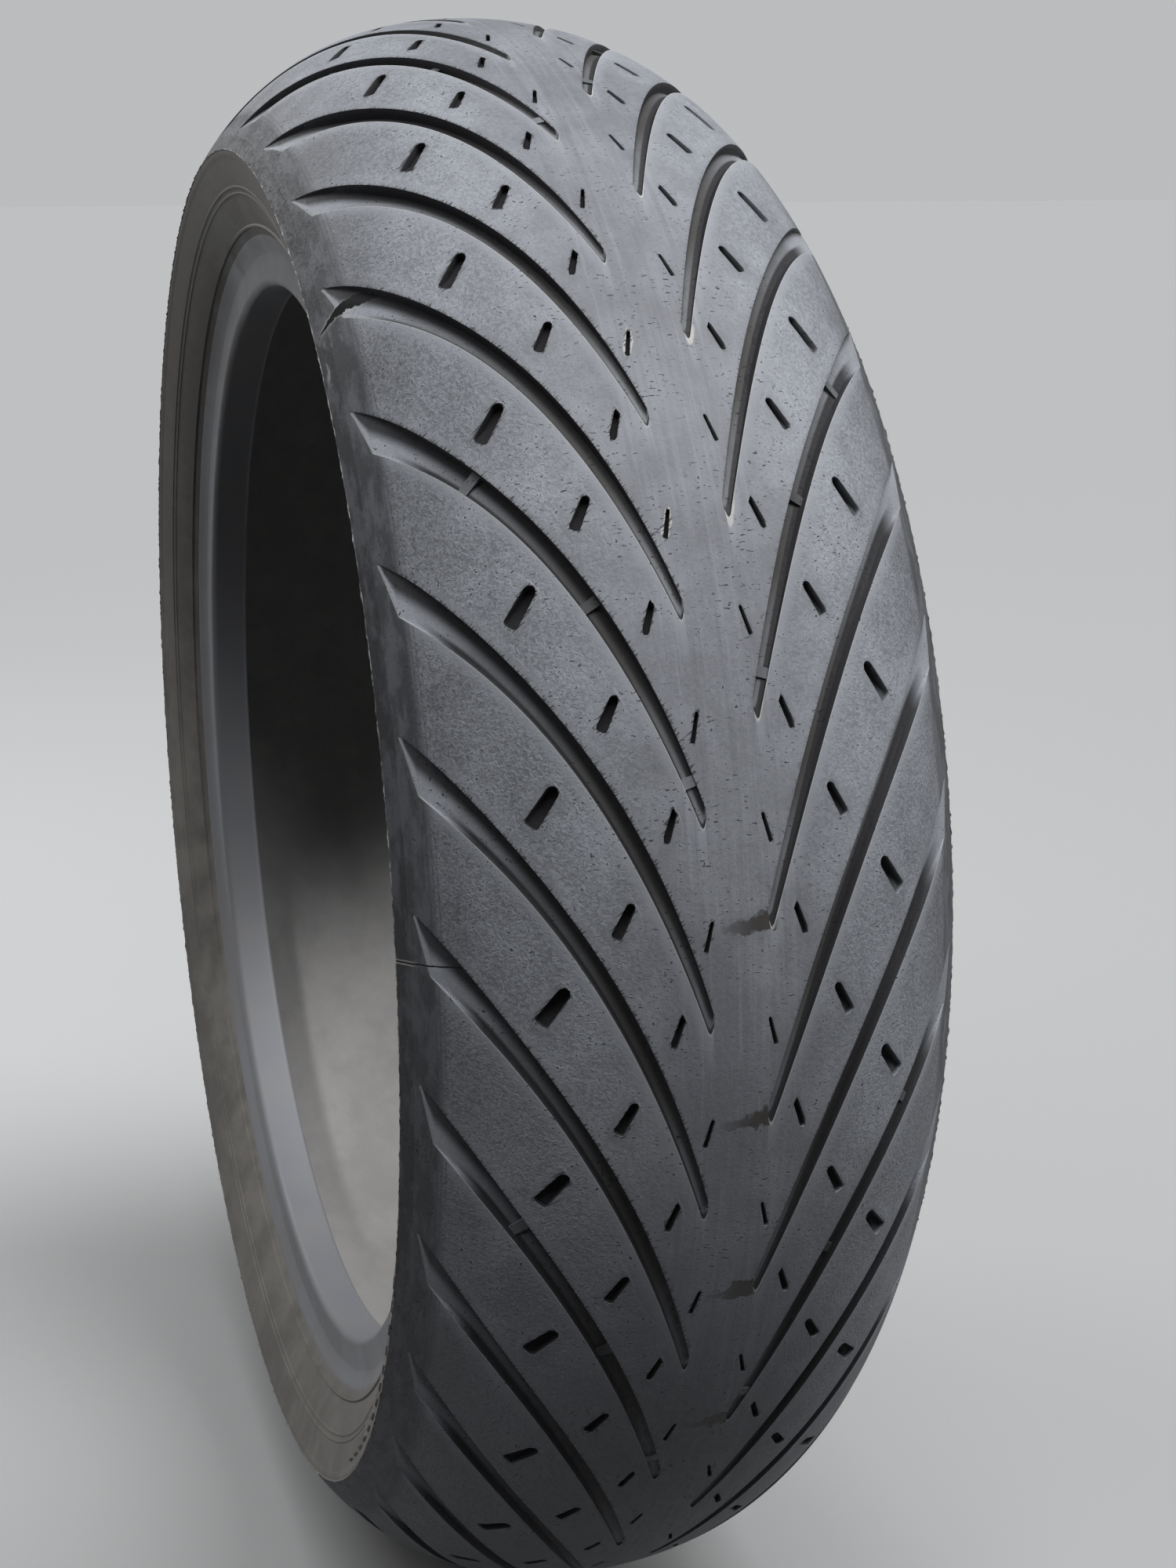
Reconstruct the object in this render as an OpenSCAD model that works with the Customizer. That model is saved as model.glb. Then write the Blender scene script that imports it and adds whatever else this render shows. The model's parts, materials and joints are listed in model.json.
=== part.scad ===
// Rear motorcycle tyre, 190/55-17, shown bare: tread, belt, carcass, beads and sidewalls.
// Origin at the wheel centre, spin axis along Y, +Z up. The left side of the tyre is -Y.
// All lengths are in millimetres and all angles in degrees.

/* [Tyre size] */
// Overall diameter over the crown of the tread
overall_d = 641; // [638:1:644]
// Section width over the two tread edges
section_w = 190; // [188.5:0.5:191.5]
// Diameter of the bead seats, for a 17 inch rim
bead_seat_d = 436.6; // [436:0.1:437.2]
// Width between the bead heels, for a 6.00 inch rim
rim_w = 152.4; // [151.4:0.1:153.4]

/* [Crown] */
// Radius of the crown across the middle of the tread
crown_r = 141; // [139:0.5:143]
// Half width of the middle crown arc, which the centre compound covers
crown_half = 31; // [30.5:0.5:31.5]
// Radius of the crown from there out to the tread edge
shoulder_r = 100.5; // [99.5:0.5:101.5]
// Radius of the turn from the shoulder into the sidewall
turn_r = 20; // [19.5:0.5:20.5]
// Width of the wing strip along each tread edge, as an angle of the shoulder arc
wing_sweep = 3.6; // [3.2:0.1:4]

/* [Layers] */
// Thickness of the tread cap
cap_t = 6; // [5.8:0.1:6.2]
// Thickness of the tread base under the cap
base_t = 1.5; // [1.4:0.1:1.6]
// Thickness of the zero degree belt
belt_t = 1.6; // [1.5:0.1:1.7]
// Angle of the shoulder arc at which the belt ends
belt_end = 50; // [49:0.5:51]
// Thickness of one carcass ply
ply_t = 1.1; // [1.05:0.05:1.15]
// Thickness of the inner liner
liner_t = 1.3; // [1.2:0.1:1.4]

/* [Grooves] */
// Number of pattern pitches round the tyre
pitches = 32; // [31:1:33]
// Depth of a groove in the middle of its run
groove_depth = 4.2; // [4:0.1:4.4]
// Depth of a groove at its inner tip
tip_depth = 1.2; // [1.1:0.1:1.3]
// Radius of a groove's upper edge in plan
upper_edge_r = 199.7; // [199.3:0.1:200.1]
// Radius of a groove's lower edge in plan
lower_edge_r = 185; // [184.6:0.1:185.4]
// Tilt of the groove plan from the radial direction
plan_tilt = 30; // [29.5:0.5:30.5]
// Angle round the tyre from a groove's tip to the middle of its plan
plan_lead = 15; // [14.8:0.1:15.2]
// Height of the wear bars over the floor of a groove
bar_h = 1.1; // [0.9:0.1:1.2]
// One groove in how many has wear bars
bar_every = 4; // [3:1:6]
// Angle round the tyre from the front to the first tip of the left side
pattern_start = 1.96; // [0:0.02:11.24]

/* [Sipes] */
// Depth of the short sipes
sipe_depth = 3; // [2.6:0.1:3.4]
// Length of the sipes next to the shoulder, the longest ones
sipe_long = 14.5; // [14:0.1:15]
// Width of the sipes next to the shoulder, the widest ones
sipe_wide = 4.6; // [4.4:0.1:4.8]

/* [Beads] */
// Diameter of one bead wire
wire_d = 1.3; // [1.2:0.05:1.35]
// Spacing of the bead wires
wire_pitch = 1.5; // [1.45:0.01:1.55]
// Wires along one side of the square bead bundle
wire_rows = 4; // [3:1:4]
// Outer radius of the rubber round the bead wires
wrap_r = 4.9; // [4.8:0.1:5]
// Lean of the ply turn-up from the radial direction
turnup_lean = 14; // [13:0.5:15]
// Length of the inner ply's turn-up
turnup_long = 16; // [15:0.5:17]
// Length of the outer ply's turn-up
turnup_short = 10; // [9:0.5:11]
// Radius of the bead heel
heel_r = 3; // [2.5:0.1:3.5]
// Height of the flat bead face that meets the rim flange
flange_h = 13; // [12.5:0.1:13.5]

/* [Sidewall] */
// Bow of the sidewall between the tread edge and the rim
sidewall_bow = 1.4; // [1:0.1:1.6]
// Height of the fine fitting ring above the rim flange
ring_h = 0.8; // [0.6:0.1:1]
// Depth of the step under the tread edge
edge_step = 1.2; // [1:0.1:1.4]

/* [Hidden] */

// Facets round the axle, round the big arcs of the section and round a wire
$fn = 128;
arc_fn = 240;
wire_fn = 40;

outer_r = overall_d / 2;
half_w = section_w / 2;
seat_r = bead_seat_d / 2;
heel_y = rim_w / 2;
pitch = 360 / pitches;

// Depths of the layer faces below the tread surface
base_top = cap_t;
belt_top = base_top + base_t;
ply_top = belt_top + belt_t;
ply_mid = ply_top + ply_t;
liner_top = ply_mid + ply_t;
liner_end = liner_top + liner_t;

// Points of the section are [distance from the axle, distance from the middle plane]
function ray(angle) = [cos(angle), sin(angle)];

// Arcs of the section, each tangent to the one before it
crown_end = asin(crown_half / crown_r);
crown_c = [outer_r - crown_r, 0];
shoulder_c = crown_c + (crown_r - shoulder_r) * ray(crown_end);
edge_end = asin((half_w - shoulder_c[1]) / shoulder_r);
wing_start = edge_end - wing_sweep;
turn_c = shoulder_c + (shoulder_r - turn_r) * ray(edge_end);

// The bead centre sits above the seat and inside the heel by the layers that wrap it
heel_rubber = 2.1;
sole_rubber = 2.4;
wrap_stack = wrap_r + 2 * ply_t;
bead_c = [seat_r + wrap_stack + sole_rubber, heel_y - wrap_stack - heel_rubber];

// The straight of the plies is tangent to the turn arc and to the bead wrap
turn_to_bead = bead_c - turn_c;
turn_end = 360 + atan2(turn_to_bead[1], turn_to_bead[0])
    - acos((turn_r - ply_top + wrap_r) / norm(turn_to_bead));
turnup_normal = 90 + turnup_lean;

// Point of the section at a depth below the tread, on the crown arc or the shoulder arc
function tread_point(angle, depth) = angle < crown_end
    ? crown_c + (crown_r - depth) * ray(angle)
    : shoulder_c + (shoulder_r - depth) * ray(angle);

// Radius about the bead centre of a layer at a depth below the tread
function wrap_radius(depth) = wrap_r + depth - ply_top;

// Point on a ply's turn-up, a run up from the bead at a radius from its centre
function turnup_point(radius, run) = bead_c + radius * ray(turnup_normal) + run * ray(turnup_lean);

// Points along an arc, without its first one
function arc(centre, radius, from, to, steps) =
    [for (i = [1:steps]) centre + radius * ray(from + (to - from) * i / steps)];

// Points round the outside of the bead from one angle to another, with edges that touch the circle
function bead_arc(radius, from, to, steps) =
    let (step = (to - from) / steps)
    concat(
        [for (i = [1:steps]) bead_c + radius / cos(step / 2) * ray(from + (i - 0.5) * step)],
        [bead_c + radius * ray(to)]
    );

// Facets of the layer paths on each arc of the section, from the middle plane to the turn-up
crown_steps = 6;
shoulder_steps = 18;
strip_steps = 3;
wing_steps = 2;
turn_steps = 12;
toe_steps = 5;
heel_steps = 14;

// Path of a layer at a depth, from the middle plane out. Every layer bends at the same angles,
// so that the faces of two neighbours meet.
function path_to_belt_end(depth) = concat(
    [crown_c + (crown_r - depth) * ray(0)],
    arc(crown_c, crown_r - depth, 0, crown_end, crown_steps),
    arc(shoulder_c, shoulder_r - depth, crown_end, belt_end, shoulder_steps)
);
function path_to_wing(depth) = concat(
    path_to_belt_end(depth),
    arc(shoulder_c, shoulder_r - depth, belt_end, wing_start, strip_steps)
);
function strip_path(depth) = concat(
    [tread_point(belt_end, depth)],
    arc(shoulder_c, shoulder_r - depth, belt_end, wing_start, strip_steps),
    arc(shoulder_c, shoulder_r - depth, wing_start, edge_end, wing_steps)
);
function path_to_bead(depth) = concat(
    path_to_wing(depth),
    arc(shoulder_c, shoulder_r - depth, wing_start, edge_end, wing_steps),
    arc(turn_c, turn_r - depth, edge_end, turn_end, turn_steps),
    [bead_c - wrap_radius(depth) * ray(turn_end)],
    bead_arc(wrap_radius(depth), turn_end - 180, -90, toe_steps)
);
function path_round_bead(depth) = concat(
    path_to_bead(depth),
    bead_arc(wrap_radius(depth), -90, turnup_normal - 360, heel_steps)
);
function path_to_turnup(depth, run) = concat(
    path_round_bead(depth),
    [turnup_point(wrap_radius(depth), run)]
);

// Path from the right end to the left end of a layer, out of the path of its left half
function both_halves(path) = concat(
    [for (i = [1:len(path) - 1]) let (point = path[len(path) - i]) [point[0], -point[1]]],
    path
);

// Centre of the circle through three points
function circle_centre(a, b, c) =
    let (
        u = b - a,
        v = c - a,
        area = 2 * (u[0] * v[1] - u[1] * v[0]),
        uu = u * u,
        vv = v * v
    )
    a + [v[1] * uu - u[1] * vv, u[0] * vv - v[0] * uu] / area;

// The groove floor is one arc: shallow at the tip, deepest half way, running out at the shoulder
tip_angle = 4;
run_out_angle = 54;
floor_tip = tread_point(tip_angle, tip_depth);
floor_mid = tread_point(plan_tilt, groove_depth);
floor_out = tread_point(run_out_angle, 0);
floor_c = circle_centre(floor_tip, floor_mid, floor_out);
floor_r = norm(floor_mid - floor_c);

// Arc centres of a groove's edges, and the window that frames it, about the middle of its plan.
// A narrow window frames the tip alone, which is all that lies in the centre compound.
upper_edge_c = [-96.1, 153];
lower_edge_c = [-99.1, 141.3];
plan_low = [-81, -55];
plan_long = 181;
plan_wide = 125;
tip_wide = 30;
plan_below = 34;
plan_above = 10;

// Depth of the groove floor below the tread, at an angle of the section
function floor_depth(angle) =
    let (
        on_crown = angle < crown_end,
        away = (on_crown ? crown_c : shoulder_c) - floor_c,
        along = away * ray(angle)
    )
    (on_crown ? crown_r : shoulder_r) + along - sqrt(along * along - away * away + floor_r * floor_r);

// Rows of wear bars from the tip out: angle of the section, lead over the groove's tip and direction of the
// groove from the running direction. A bar is a block across the groove that reaches into both walls.
bar_rows = [
    [5.45, 2.9, 18.5],
    [15.95, 13.1, 28],
    [33.65, 21.6, 40],
];
bar_first = 1;
bar_long = 3.4;
bar_wide = 13;
bar_root = 12;

// The widest sipe that is cut by a flat blade, how far a cut starts above the tread, and the facets
// of a round end
blade_t = 2.5;
sipe_above = 2;
sipe_fn = 24;

// Rows of sipes from the middle out: angle of the crown, lead over the groove's tip, length and width
// as shares of the longest and the widest, and lean from the running direction
sipe_rows = [
    [4.1, -5.44, 0.67, 0.3, 14.5],
    [8.15, 0.72, 0.78, 0.48, 20],
    [15.2, 6.98, 0.82, 0.72, 29],
    [27.75, 13.5, 1, 1, 38],
];

// Outline of the bead from its toe, under the seat and round the heel, to the chafer's top
toe_y = bead_c[1] - wrap_radius(liner_end);
toe_cut = 2.3;
chafer_rise = 7;
chafer_out = 3.4;
chafer_tip = [seat_r + flange_h + chafer_rise, heel_y + chafer_out];
chafer_run = 10;
heel_facet = 15;

// Outline of the sidewall under the tread edge
edge_point = tread_point(edge_end, 0);
edge_lip = 0.4;
step_drop = 3;
wall_steps = 8;
ring_half = 1;
ring_rise = 3;

// Turns a solid of revolution about Z so that its axis is the axle and its top is the left side
module on_axle() {
    rotate([90, 0, 0]) children();
}

module left_side() {
    on_axle() children();
}

module right_side() {
    mirror([0, 1, 0]) on_axle() children();
}

// Pie slice of the section plane, from one angle to another about a centre
module slice(centre, from, to) {
    reach = 2 * crown_r;
    steps = ceil(abs(to - from) / 60);
    rim = [for (i = [0:steps]) centre + reach * ray(from + (to - from) * i / steps)];
    polygon(concat([centre], rim));
}

// Band between two radii about a centre, from one angle to another
module arc_band(centre, outer, inner, from, to) {
    intersection() {
        difference() {
            translate(centre) circle(r = outer, $fn = arc_fn);
            translate(centre) circle(r = inner, $fn = arc_fn);
        }
        slice(centre, from, to);
    }
}

// Ring of tread rubber under the shoulder, between two depths and two angles of its arc
module shoulder_ring(top, bottom, from, to) {
    rotate_extrude() arc_band(shoulder_c, shoulder_r - top, shoulder_r - bottom, from, to);
}

// Ring between two lists of points of the section, one along its top and one along its bottom
module layer_ring(top_path, bottom_path) {
    count = len(bottom_path);
    back = [for (i = [1:count]) bottom_path[count - i]];
    rotate_extrude() polygon(concat(top_path, back));
}

// Strip of a ply folded up on the outside of the bead
module turnup_section(top, bottom, run) {
    polygon([
        turnup_point(wrap_radius(top), 0),
        turnup_point(wrap_radius(bottom), 0),
        turnup_point(wrap_radius(bottom), run),
        turnup_point(wrap_radius(top), run),
    ]);
}

// Wedge of hard rubber over the bead, between the ply and its turn-up
module filler_section() {
    across = ray(turn_end);
    half_gap = (turn_end - 90 - turnup_lean) / 2;
    tip = bead_c + wrap_r / sin(half_gap) * ray(turnup_lean + half_gap);
    difference() {
        polygon([bead_c - wrap_r * across, tip, turnup_point(wrap_r, 0)]);
        translate(bead_c) circle(r = wrap_r, $fn = arc_fn);
    }
}

// Everything that the sidewall lies against: bead, filler, turn-ups and the inside of the tyre
module bead_stack() {
    across = ray(turn_end);
    translate(bead_c) circle(r = wrap_stack, $fn = arc_fn);
    turnup_section(ply_top, ply_mid, turnup_short);
    turnup_section(ply_mid, liner_top, turnup_long);
    filler_section();
    translate(turn_c) circle(r = turn_r - ply_top, $fn = arc_fn);
    polygon([
        turn_c + (turn_r - ply_top) * across,
        bead_c - wrap_r * across,
        bead_c,
        [bead_c[0], 0],
        [outer_r, 0],
        tread_point(edge_end, ply_top),
    ]);
}

// Outline of the bead rubber: toe, flat seat, round heel, rim flange face and top edge
module chafer_section() {
    heel_c = [seat_r + heel_r, heel_y - heel_r];
    heel = [for (angle = [180:-heel_facet:90]) heel_c + heel_r * ray(angle)];
    bead_back = bead_arc(wrap_stack, -90, turnup_normal - 360, heel_steps);
    polygon(concat(
        [[bead_c[0], toe_y], [seat_r + toe_cut, toe_y], [seat_r, toe_y + toe_cut]],
        heel,
        [[seat_r + flange_h, heel_y], chafer_tip],
        [turnup_point(wrap_stack, chafer_run), turnup_point(wrap_stack, 0)],
        [for (i = [1:len(bead_back) - 1]) bead_back[len(bead_back) - 1 - i]],
        [bead_c - [0, wrap_stack]]
    ));
}

// Outline of the sidewall rubber, with the step under the tread edge and the fitting ring
module sidewall_section() {
    wall_top = edge_point - [step_drop, edge_step];
    ring_base = chafer_tip + [ring_rise, ring_rise / 2];
    fall = (wall_top - ring_base) / norm(wall_top - ring_base);
    out = [-fall[1], fall[0]];
    wall_end = ring_base + 2 * ring_half * fall;
    wall = [for (i = [0:wall_steps]) wall_top + (wall_end - wall_top) * i / wall_steps
        + sidewall_bow * sin(180 * i / wall_steps) * out];
    difference() {
        polygon(concat(
            [edge_point, edge_point - [step_drop - edge_step, edge_lip]],
            wall,
            [ring_base + ring_half * fall + ring_h * out, ring_base, chafer_tip],
            [turnup_point(wrap_stack, chafer_run), bead_c, tread_point(edge_end, ply_top)]
        ));
        bead_stack();
    }
}

// Places a plan at an angle round the axle, facing out along the normal of the tread
module on_tread(turn, tilt) {
    spot = tread_point(tilt, 0);
    rotate([0, 0, turn])
        translate([spot[0], 0, spot[1]])
            rotate([0, 90 - tilt, 0])
                rotate([0, 0, 90])
                    children();
}

// Crescent between the two edges of a groove, in a window of a given width from its tip out
module groove_plan(wide) {
    intersection() {
        difference() {
            translate(upper_edge_c) circle(r = upper_edge_r, $fn = arc_fn);
            translate(lower_edge_c) circle(r = lower_edge_r, $fn = arc_fn);
        }
        translate(plan_low) square([plan_long, wide]);
    }
}

// Rows of wear bars on the left side, from the first row to the last
module wear_bars(first, last) {
    for (row = [first:last])
        for (i = [bar_first:bar_every:pitches - 1])
            on_tread(pattern_start + i * pitch + bar_rows[row][1], bar_rows[row][0])
                rotate([0, 0, bar_rows[row][2]])
                    translate([-bar_long / 2, -bar_wide / 2, -bar_root])
                        cube([bar_long, bar_wide, bar_root - floor_depth(bar_rows[row][0]) + bar_h]);
}

// All the grooves of the left side, cut down to their floor and to the wear bars that stand on it
module grooves(wide, first_bar, last_bar) {
    difference() {
        for (i = [0:pitches - 1])
            on_tread(pattern_start + i * pitch + plan_lead, plan_tilt)
                translate([0, 0, -plan_below])
                    linear_extrude(plan_below + plan_above) groove_plan(wide);
        rotate_extrude() translate(floor_c) circle(r = floor_r, $fn = arc_fn);
        wear_bars(first_bar, last_bar);
    }
}

// One slot cut down into the tread: a wide one has round ends, a narrow one is cut by a flat blade
module sipe(long, wide) {
    round_end = wide > blade_t ? wide : 0;
    straight = long - round_end;
    translate([0, 0, -sipe_depth])
        linear_extrude(sipe_depth + sipe_above) {
            translate([-straight / 2, -wide / 2]) square([straight, wide]);
            if (round_end > 0)
                for (end = [-1, 1])
                    translate([end * straight / 2, 0]) circle(d = wide, $fn = sipe_fn);
        }
}

// Rows of sipes on the left side, from the first row to the last
module sipes(first, last) {
    for (row = [first:last])
        for (i = [0:pitches - 1])
            on_tread(pattern_start + i * pitch + sipe_rows[row][1], sipe_rows[row][0])
                rotate([0, 0, -sipe_rows[row][4]])
                    sipe(sipe_long * sipe_rows[row][2], sipe_wide * sipe_rows[row][3]);
}

// The right side repeats the left one in a mirror, half a pitch on
module opposite_side() {
    rotate([0, 0, pitch / 2]) mirror([0, 0, 1]) children();
}

module tread_cap_centre() {
    color([0.36, 0.36, 0.37])
        on_axle()
            difference() {
                rotate_extrude() arc_band(crown_c, crown_r, crown_r - cap_t, -crown_end, crown_end);
                grooves(tip_wide, 0, 0);
                opposite_side() grooves(tip_wide, 0, 0);
                sipes(0, 1);
                opposite_side() sipes(0, 1);
            }
}

module tread_cap_left() {
    color([0.32, 0.32, 0.33])
        left_side()
            difference() {
                shoulder_ring(0, cap_t, crown_end, wing_start);
                grooves(plan_wide, 1, 2);
                sipes(2, 3);
            }
}

module tread_cap_right() {
    color([0.32, 0.32, 0.33])
        on_axle()
            opposite_side()
                difference() {
                    shoulder_ring(0, cap_t, crown_end, wing_start);
                    grooves(plan_wide, 1, 2);
                    sipes(2, 3);
                }
}

module tread_wing() {
    color([0.22, 0.22, 0.23]) shoulder_ring(0, belt_top, wing_start, edge_end);
}

module tread_wing_left() {
    left_side() tread_wing();
}

module tread_wing_right() {
    right_side() tread_wing();
}

module tread_base() {
    color([0.15, 0.15, 0.15])
        on_axle()
            layer_ring(both_halves(path_to_wing(base_top)), both_halves(path_to_wing(belt_top)));
}

module zero_degree_belt() {
    color([0.55, 0.56, 0.58])
        on_axle()
            layer_ring(both_halves(path_to_belt_end(belt_top)), both_halves(path_to_belt_end(ply_top)));
}

module belt_edge_strip() {
    color([0.18, 0.16, 0.14])
        layer_ring(strip_path(belt_top), strip_path(ply_top));
}

module belt_edge_strip_left() {
    left_side() belt_edge_strip();
}

module belt_edge_strip_right() {
    right_side() belt_edge_strip();
}

module carcass_ply_outer() {
    color([0.5, 0.46, 0.38])
        on_axle()
            layer_ring(
                both_halves(path_to_turnup(ply_top, turnup_short)),
                both_halves(path_to_turnup(ply_mid, turnup_short))
            );
}

module carcass_ply_inner() {
    color([0.45, 0.41, 0.34])
        on_axle()
            layer_ring(
                both_halves(path_to_turnup(ply_mid, turnup_long)),
                both_halves(path_to_turnup(liner_top, turnup_long))
            );
}

module inner_liner() {
    color([0.3, 0.3, 0.3])
        on_axle()
            layer_ring(both_halves(path_to_bead(liner_top)), both_halves(path_to_bead(liner_end)));
}

// Sections of the bead wires, in a square bundle about the bead centre
module wire_sections() {
    first = -(wire_rows - 1) / 2;
    for (row = [0:wire_rows - 1])
        for (column = [0:wire_rows - 1])
            translate(bead_c + wire_pitch * [first + row, first + column])
                circle(d = wire_d, $fn = wire_fn);
}

module bead_wires() {
    color([0.72, 0.62, 0.42]) rotate_extrude() wire_sections();
}

module bead_wires_left() {
    left_side() bead_wires();
}

module bead_wires_right() {
    right_side() bead_wires();
}

module bead_wrap() {
    color([0.12, 0.12, 0.12])
        rotate_extrude()
            difference() {
                translate(bead_c) circle(r = wrap_r, $fn = arc_fn);
                wire_sections();
            }
}

module bead_wrap_left() {
    left_side() bead_wrap();
}

module bead_wrap_right() {
    right_side() bead_wrap();
}

module bead_filler() {
    color([0.1, 0.1, 0.1]) rotate_extrude() filler_section();
}

module bead_filler_left() {
    left_side() bead_filler();
}

module bead_filler_right() {
    right_side() bead_filler();
}

module chafer() {
    color([0.27, 0.28, 0.31]) rotate_extrude() chafer_section();
}

module chafer_left() {
    left_side() chafer();
}

module chafer_right() {
    right_side() chafer();
}

module sidewall() {
    color([0.26, 0.25, 0.24]) rotate_extrude() sidewall_section();
}

module sidewall_left() {
    left_side() sidewall();
}

module sidewall_right() {
    right_side() sidewall();
}

tread_cap_centre();
tread_cap_left();
tread_cap_right();
tread_wing_left();
tread_wing_right();
tread_base();
zero_degree_belt();
belt_edge_strip_left();
belt_edge_strip_right();
carcass_ply_outer();
carcass_ply_inner();
inner_liner();
bead_wires_left();
bead_wires_right();
bead_wrap_left();
bead_wrap_right();
bead_filler_left();
bead_filler_right();
chafer_left();
chafer_right();
sidewall_left();
sidewall_right();
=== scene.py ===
"""Worn rear motorcycle tyre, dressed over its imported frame.

The tread is three closed shells of numpy grids whose columns follow the grooves, with the sipes let in as
patches. The wings, sidewalls, bead chafers and inner liner are sections carried round the axle. The layers
inside stay CAD. Lengths are worked out in millimetres and turned into metres when a mesh is made.
"""
import json

import bpy
import numpy as np
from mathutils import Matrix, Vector


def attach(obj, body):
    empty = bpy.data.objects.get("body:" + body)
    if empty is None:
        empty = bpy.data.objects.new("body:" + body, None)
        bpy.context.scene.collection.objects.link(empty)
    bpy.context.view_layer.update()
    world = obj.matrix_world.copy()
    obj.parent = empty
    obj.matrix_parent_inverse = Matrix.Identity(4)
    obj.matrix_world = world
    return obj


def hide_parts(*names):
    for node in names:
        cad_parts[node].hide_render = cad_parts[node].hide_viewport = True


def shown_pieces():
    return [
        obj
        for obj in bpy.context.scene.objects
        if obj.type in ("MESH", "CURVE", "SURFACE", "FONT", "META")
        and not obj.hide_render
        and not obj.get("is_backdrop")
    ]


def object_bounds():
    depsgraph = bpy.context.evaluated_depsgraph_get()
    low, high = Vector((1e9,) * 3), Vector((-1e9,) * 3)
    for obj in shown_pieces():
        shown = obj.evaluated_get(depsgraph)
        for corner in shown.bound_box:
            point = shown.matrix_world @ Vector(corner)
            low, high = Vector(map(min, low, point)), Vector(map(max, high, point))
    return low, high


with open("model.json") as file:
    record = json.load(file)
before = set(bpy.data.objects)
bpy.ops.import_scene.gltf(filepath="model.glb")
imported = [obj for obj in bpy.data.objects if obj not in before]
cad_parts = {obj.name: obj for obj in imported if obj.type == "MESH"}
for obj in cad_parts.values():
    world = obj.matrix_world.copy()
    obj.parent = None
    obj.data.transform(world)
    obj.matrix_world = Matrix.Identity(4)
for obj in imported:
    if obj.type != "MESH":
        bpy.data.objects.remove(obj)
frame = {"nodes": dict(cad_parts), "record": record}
CAD_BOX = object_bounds()

bl_info = {
    "name": "Motorcycle tyre",
    "version": (1, 0, 0),
    "blender": (4, 5, 0),
    "location": "3D View > Sidebar > Tyre",
    "description": "Builds the worn tyre's visible rubber over its packed frame",
    "category": "Object",
}

MM = 1000.0
# Most triangles a piece may have; make_mesh stops with an error above it.
MOST_TRIANGLES = 199000

# Fitted edges of a groove: degrees over its pitch's start, as polynomials of millimetres along the crown.
UPPER_EDGE = (-2.7236e-07, 7.95336e-05, -9.5403e-03, 0.772122, -4.79289)
LOWER_EDGE = (1.44903e-05, -4.4743e-03, 0.622944, -5.75842)
# Blunt tip: innermost run, run at which the lower edge takes over, its turn and how far it rises inwards.
TIP_RUN = 9.15
TIP_OUT = 10.6
TIP_TURN = 0.37
TIP_RISE = 0.55
# Facet that closes a groove at the shoulder: its corner on the lower edge and its slope in degrees per
# millimetre. Then the run at which every cut has ended, and the least width of a groove in degrees.
CORNER_RUN = 98.5
CORNER_TURN = 26.05
FACET_SLOPE = 0.7
CUT_END = CORNER_RUN + 6
LEAST_BAND = 0.19
# Depth of a groove: run over which its floor goes down, share of it by the lower wall, slopes of the walls
# and of the run-out, and how softly they meet.
BED_RUN = 32.0
BED_SHARE = 0.62
LOW_WALL = 8.0
HIGH_WALL = 6.0
TIP_WALL = 3.0
RUN_OUT = 0.2
DEPTH_SOFTNESS = 0.25
# Sipes: run and lead of the middle, length and width as shares of the longest, lean towards the middle plane.
SIPES = (
    (57.64, 13.50, 1.00, 1.00, 38.0),
    (35.62, 6.98, 0.82, 0.72, 29.0),
    (20.02, 0.72, 0.78, 0.48, 20.0),
    (10.12, -5.44, 0.67, 0.30, 14.5),
)
# Shape of a sipe: height and squareness of its lower cap, taper to its upper end, land kept round it, share
# of the depth that a hair-thin one has, how far the floor rises at the lower end of a wide one and how much
# paler it is painted there, as painted light, and the shares of the half length at which that begins and over
# which it goes on.
SIPE_CAP = 0.55
SIPE_SQUARE = 0.8
SIPE_TAPER = 0.12
SIPE_MARGIN = 1.3
SIPE_THIN = 0.6
SIPE_RISE = 0.5
SIPE_PALER = 0.35
RISE_START = 0.05
RISE_SPAN = 0.85
# Rings of points round a sipe's outline, as shares of the way out, and rings inside it: inset, share of the
# depth and darkness, which is painted shade. The outline itself lies in by the lip.
SIPE_OUTER = (0.42, 0.06)
SIPE_INNER = ((0.03, 0.45, 0.7), (0.07, 1.0, 1.0), (0.34, 1.0, 1.0))
SIPE_LIP = 0.03
# Least angle in radians between neighbours on the border of a sipe's block, and least land inside that
# border in millimetres.
LEAST_STEP = 1e-4
LEAST_LAND = 0.2
# Wear bars: middles along the crown, half length and half width, one pitch in how many has them and the first
# that does, least depth of the top, and how far over the cap's inner face they end.
BAR_RUNS = (13.4, 37.0, 68.0)
BAR_LONG = 1.7
BAR_WIDE = 5.2
BAR_EVERY = 4
BAR_FIRST = 1
BAR_LEAST_DEPTH = 0.35
BAR_FOOT = 0.5
# A sipe or bar goes into the cap whose rows reach this far past its middle.
REACH = 3.0
# Where a pitch's columns lie: shares of the groove's width, then shares of the land up to the next groove.
GROOVE_SHARES = np.array([0, 0.012, 0.04, 0.1, 0.19, 0.3, 0.42, 0.55, 0.68, 0.8, 0.9, 0.965])
LAND_SHARES = np.concatenate(([0, 0.006, 0.022, 0.05], np.linspace(0.085, 0.915, 23), [0.95, 0.978, 0.994]))
COLUMNS = len(GROOVE_SHARES) + len(LAND_SHARES)
# Turn of a pitch's first column at the middle plane, where the columns are even.
EVEN_START = -0.4
# Stands for no edge nearby, in millimetres.
FAR = 9.0
# What is known of each point of the tread besides its turn. In a cut, above is the share of the groove's
# width. On the land it is 1 over an upper edge and 0 under a lower one. It has its own values round a sipe,
# on a wear bar and on the wings' flash.
# slot is the share of painted shade at a point in a sipe.
KNOWN = ("across", "cut", "rim", "lead", "above", "slot")
BY_SIPE = 0.7
ON_BAR = 0.4
ON_FLASH = 2.0
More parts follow.
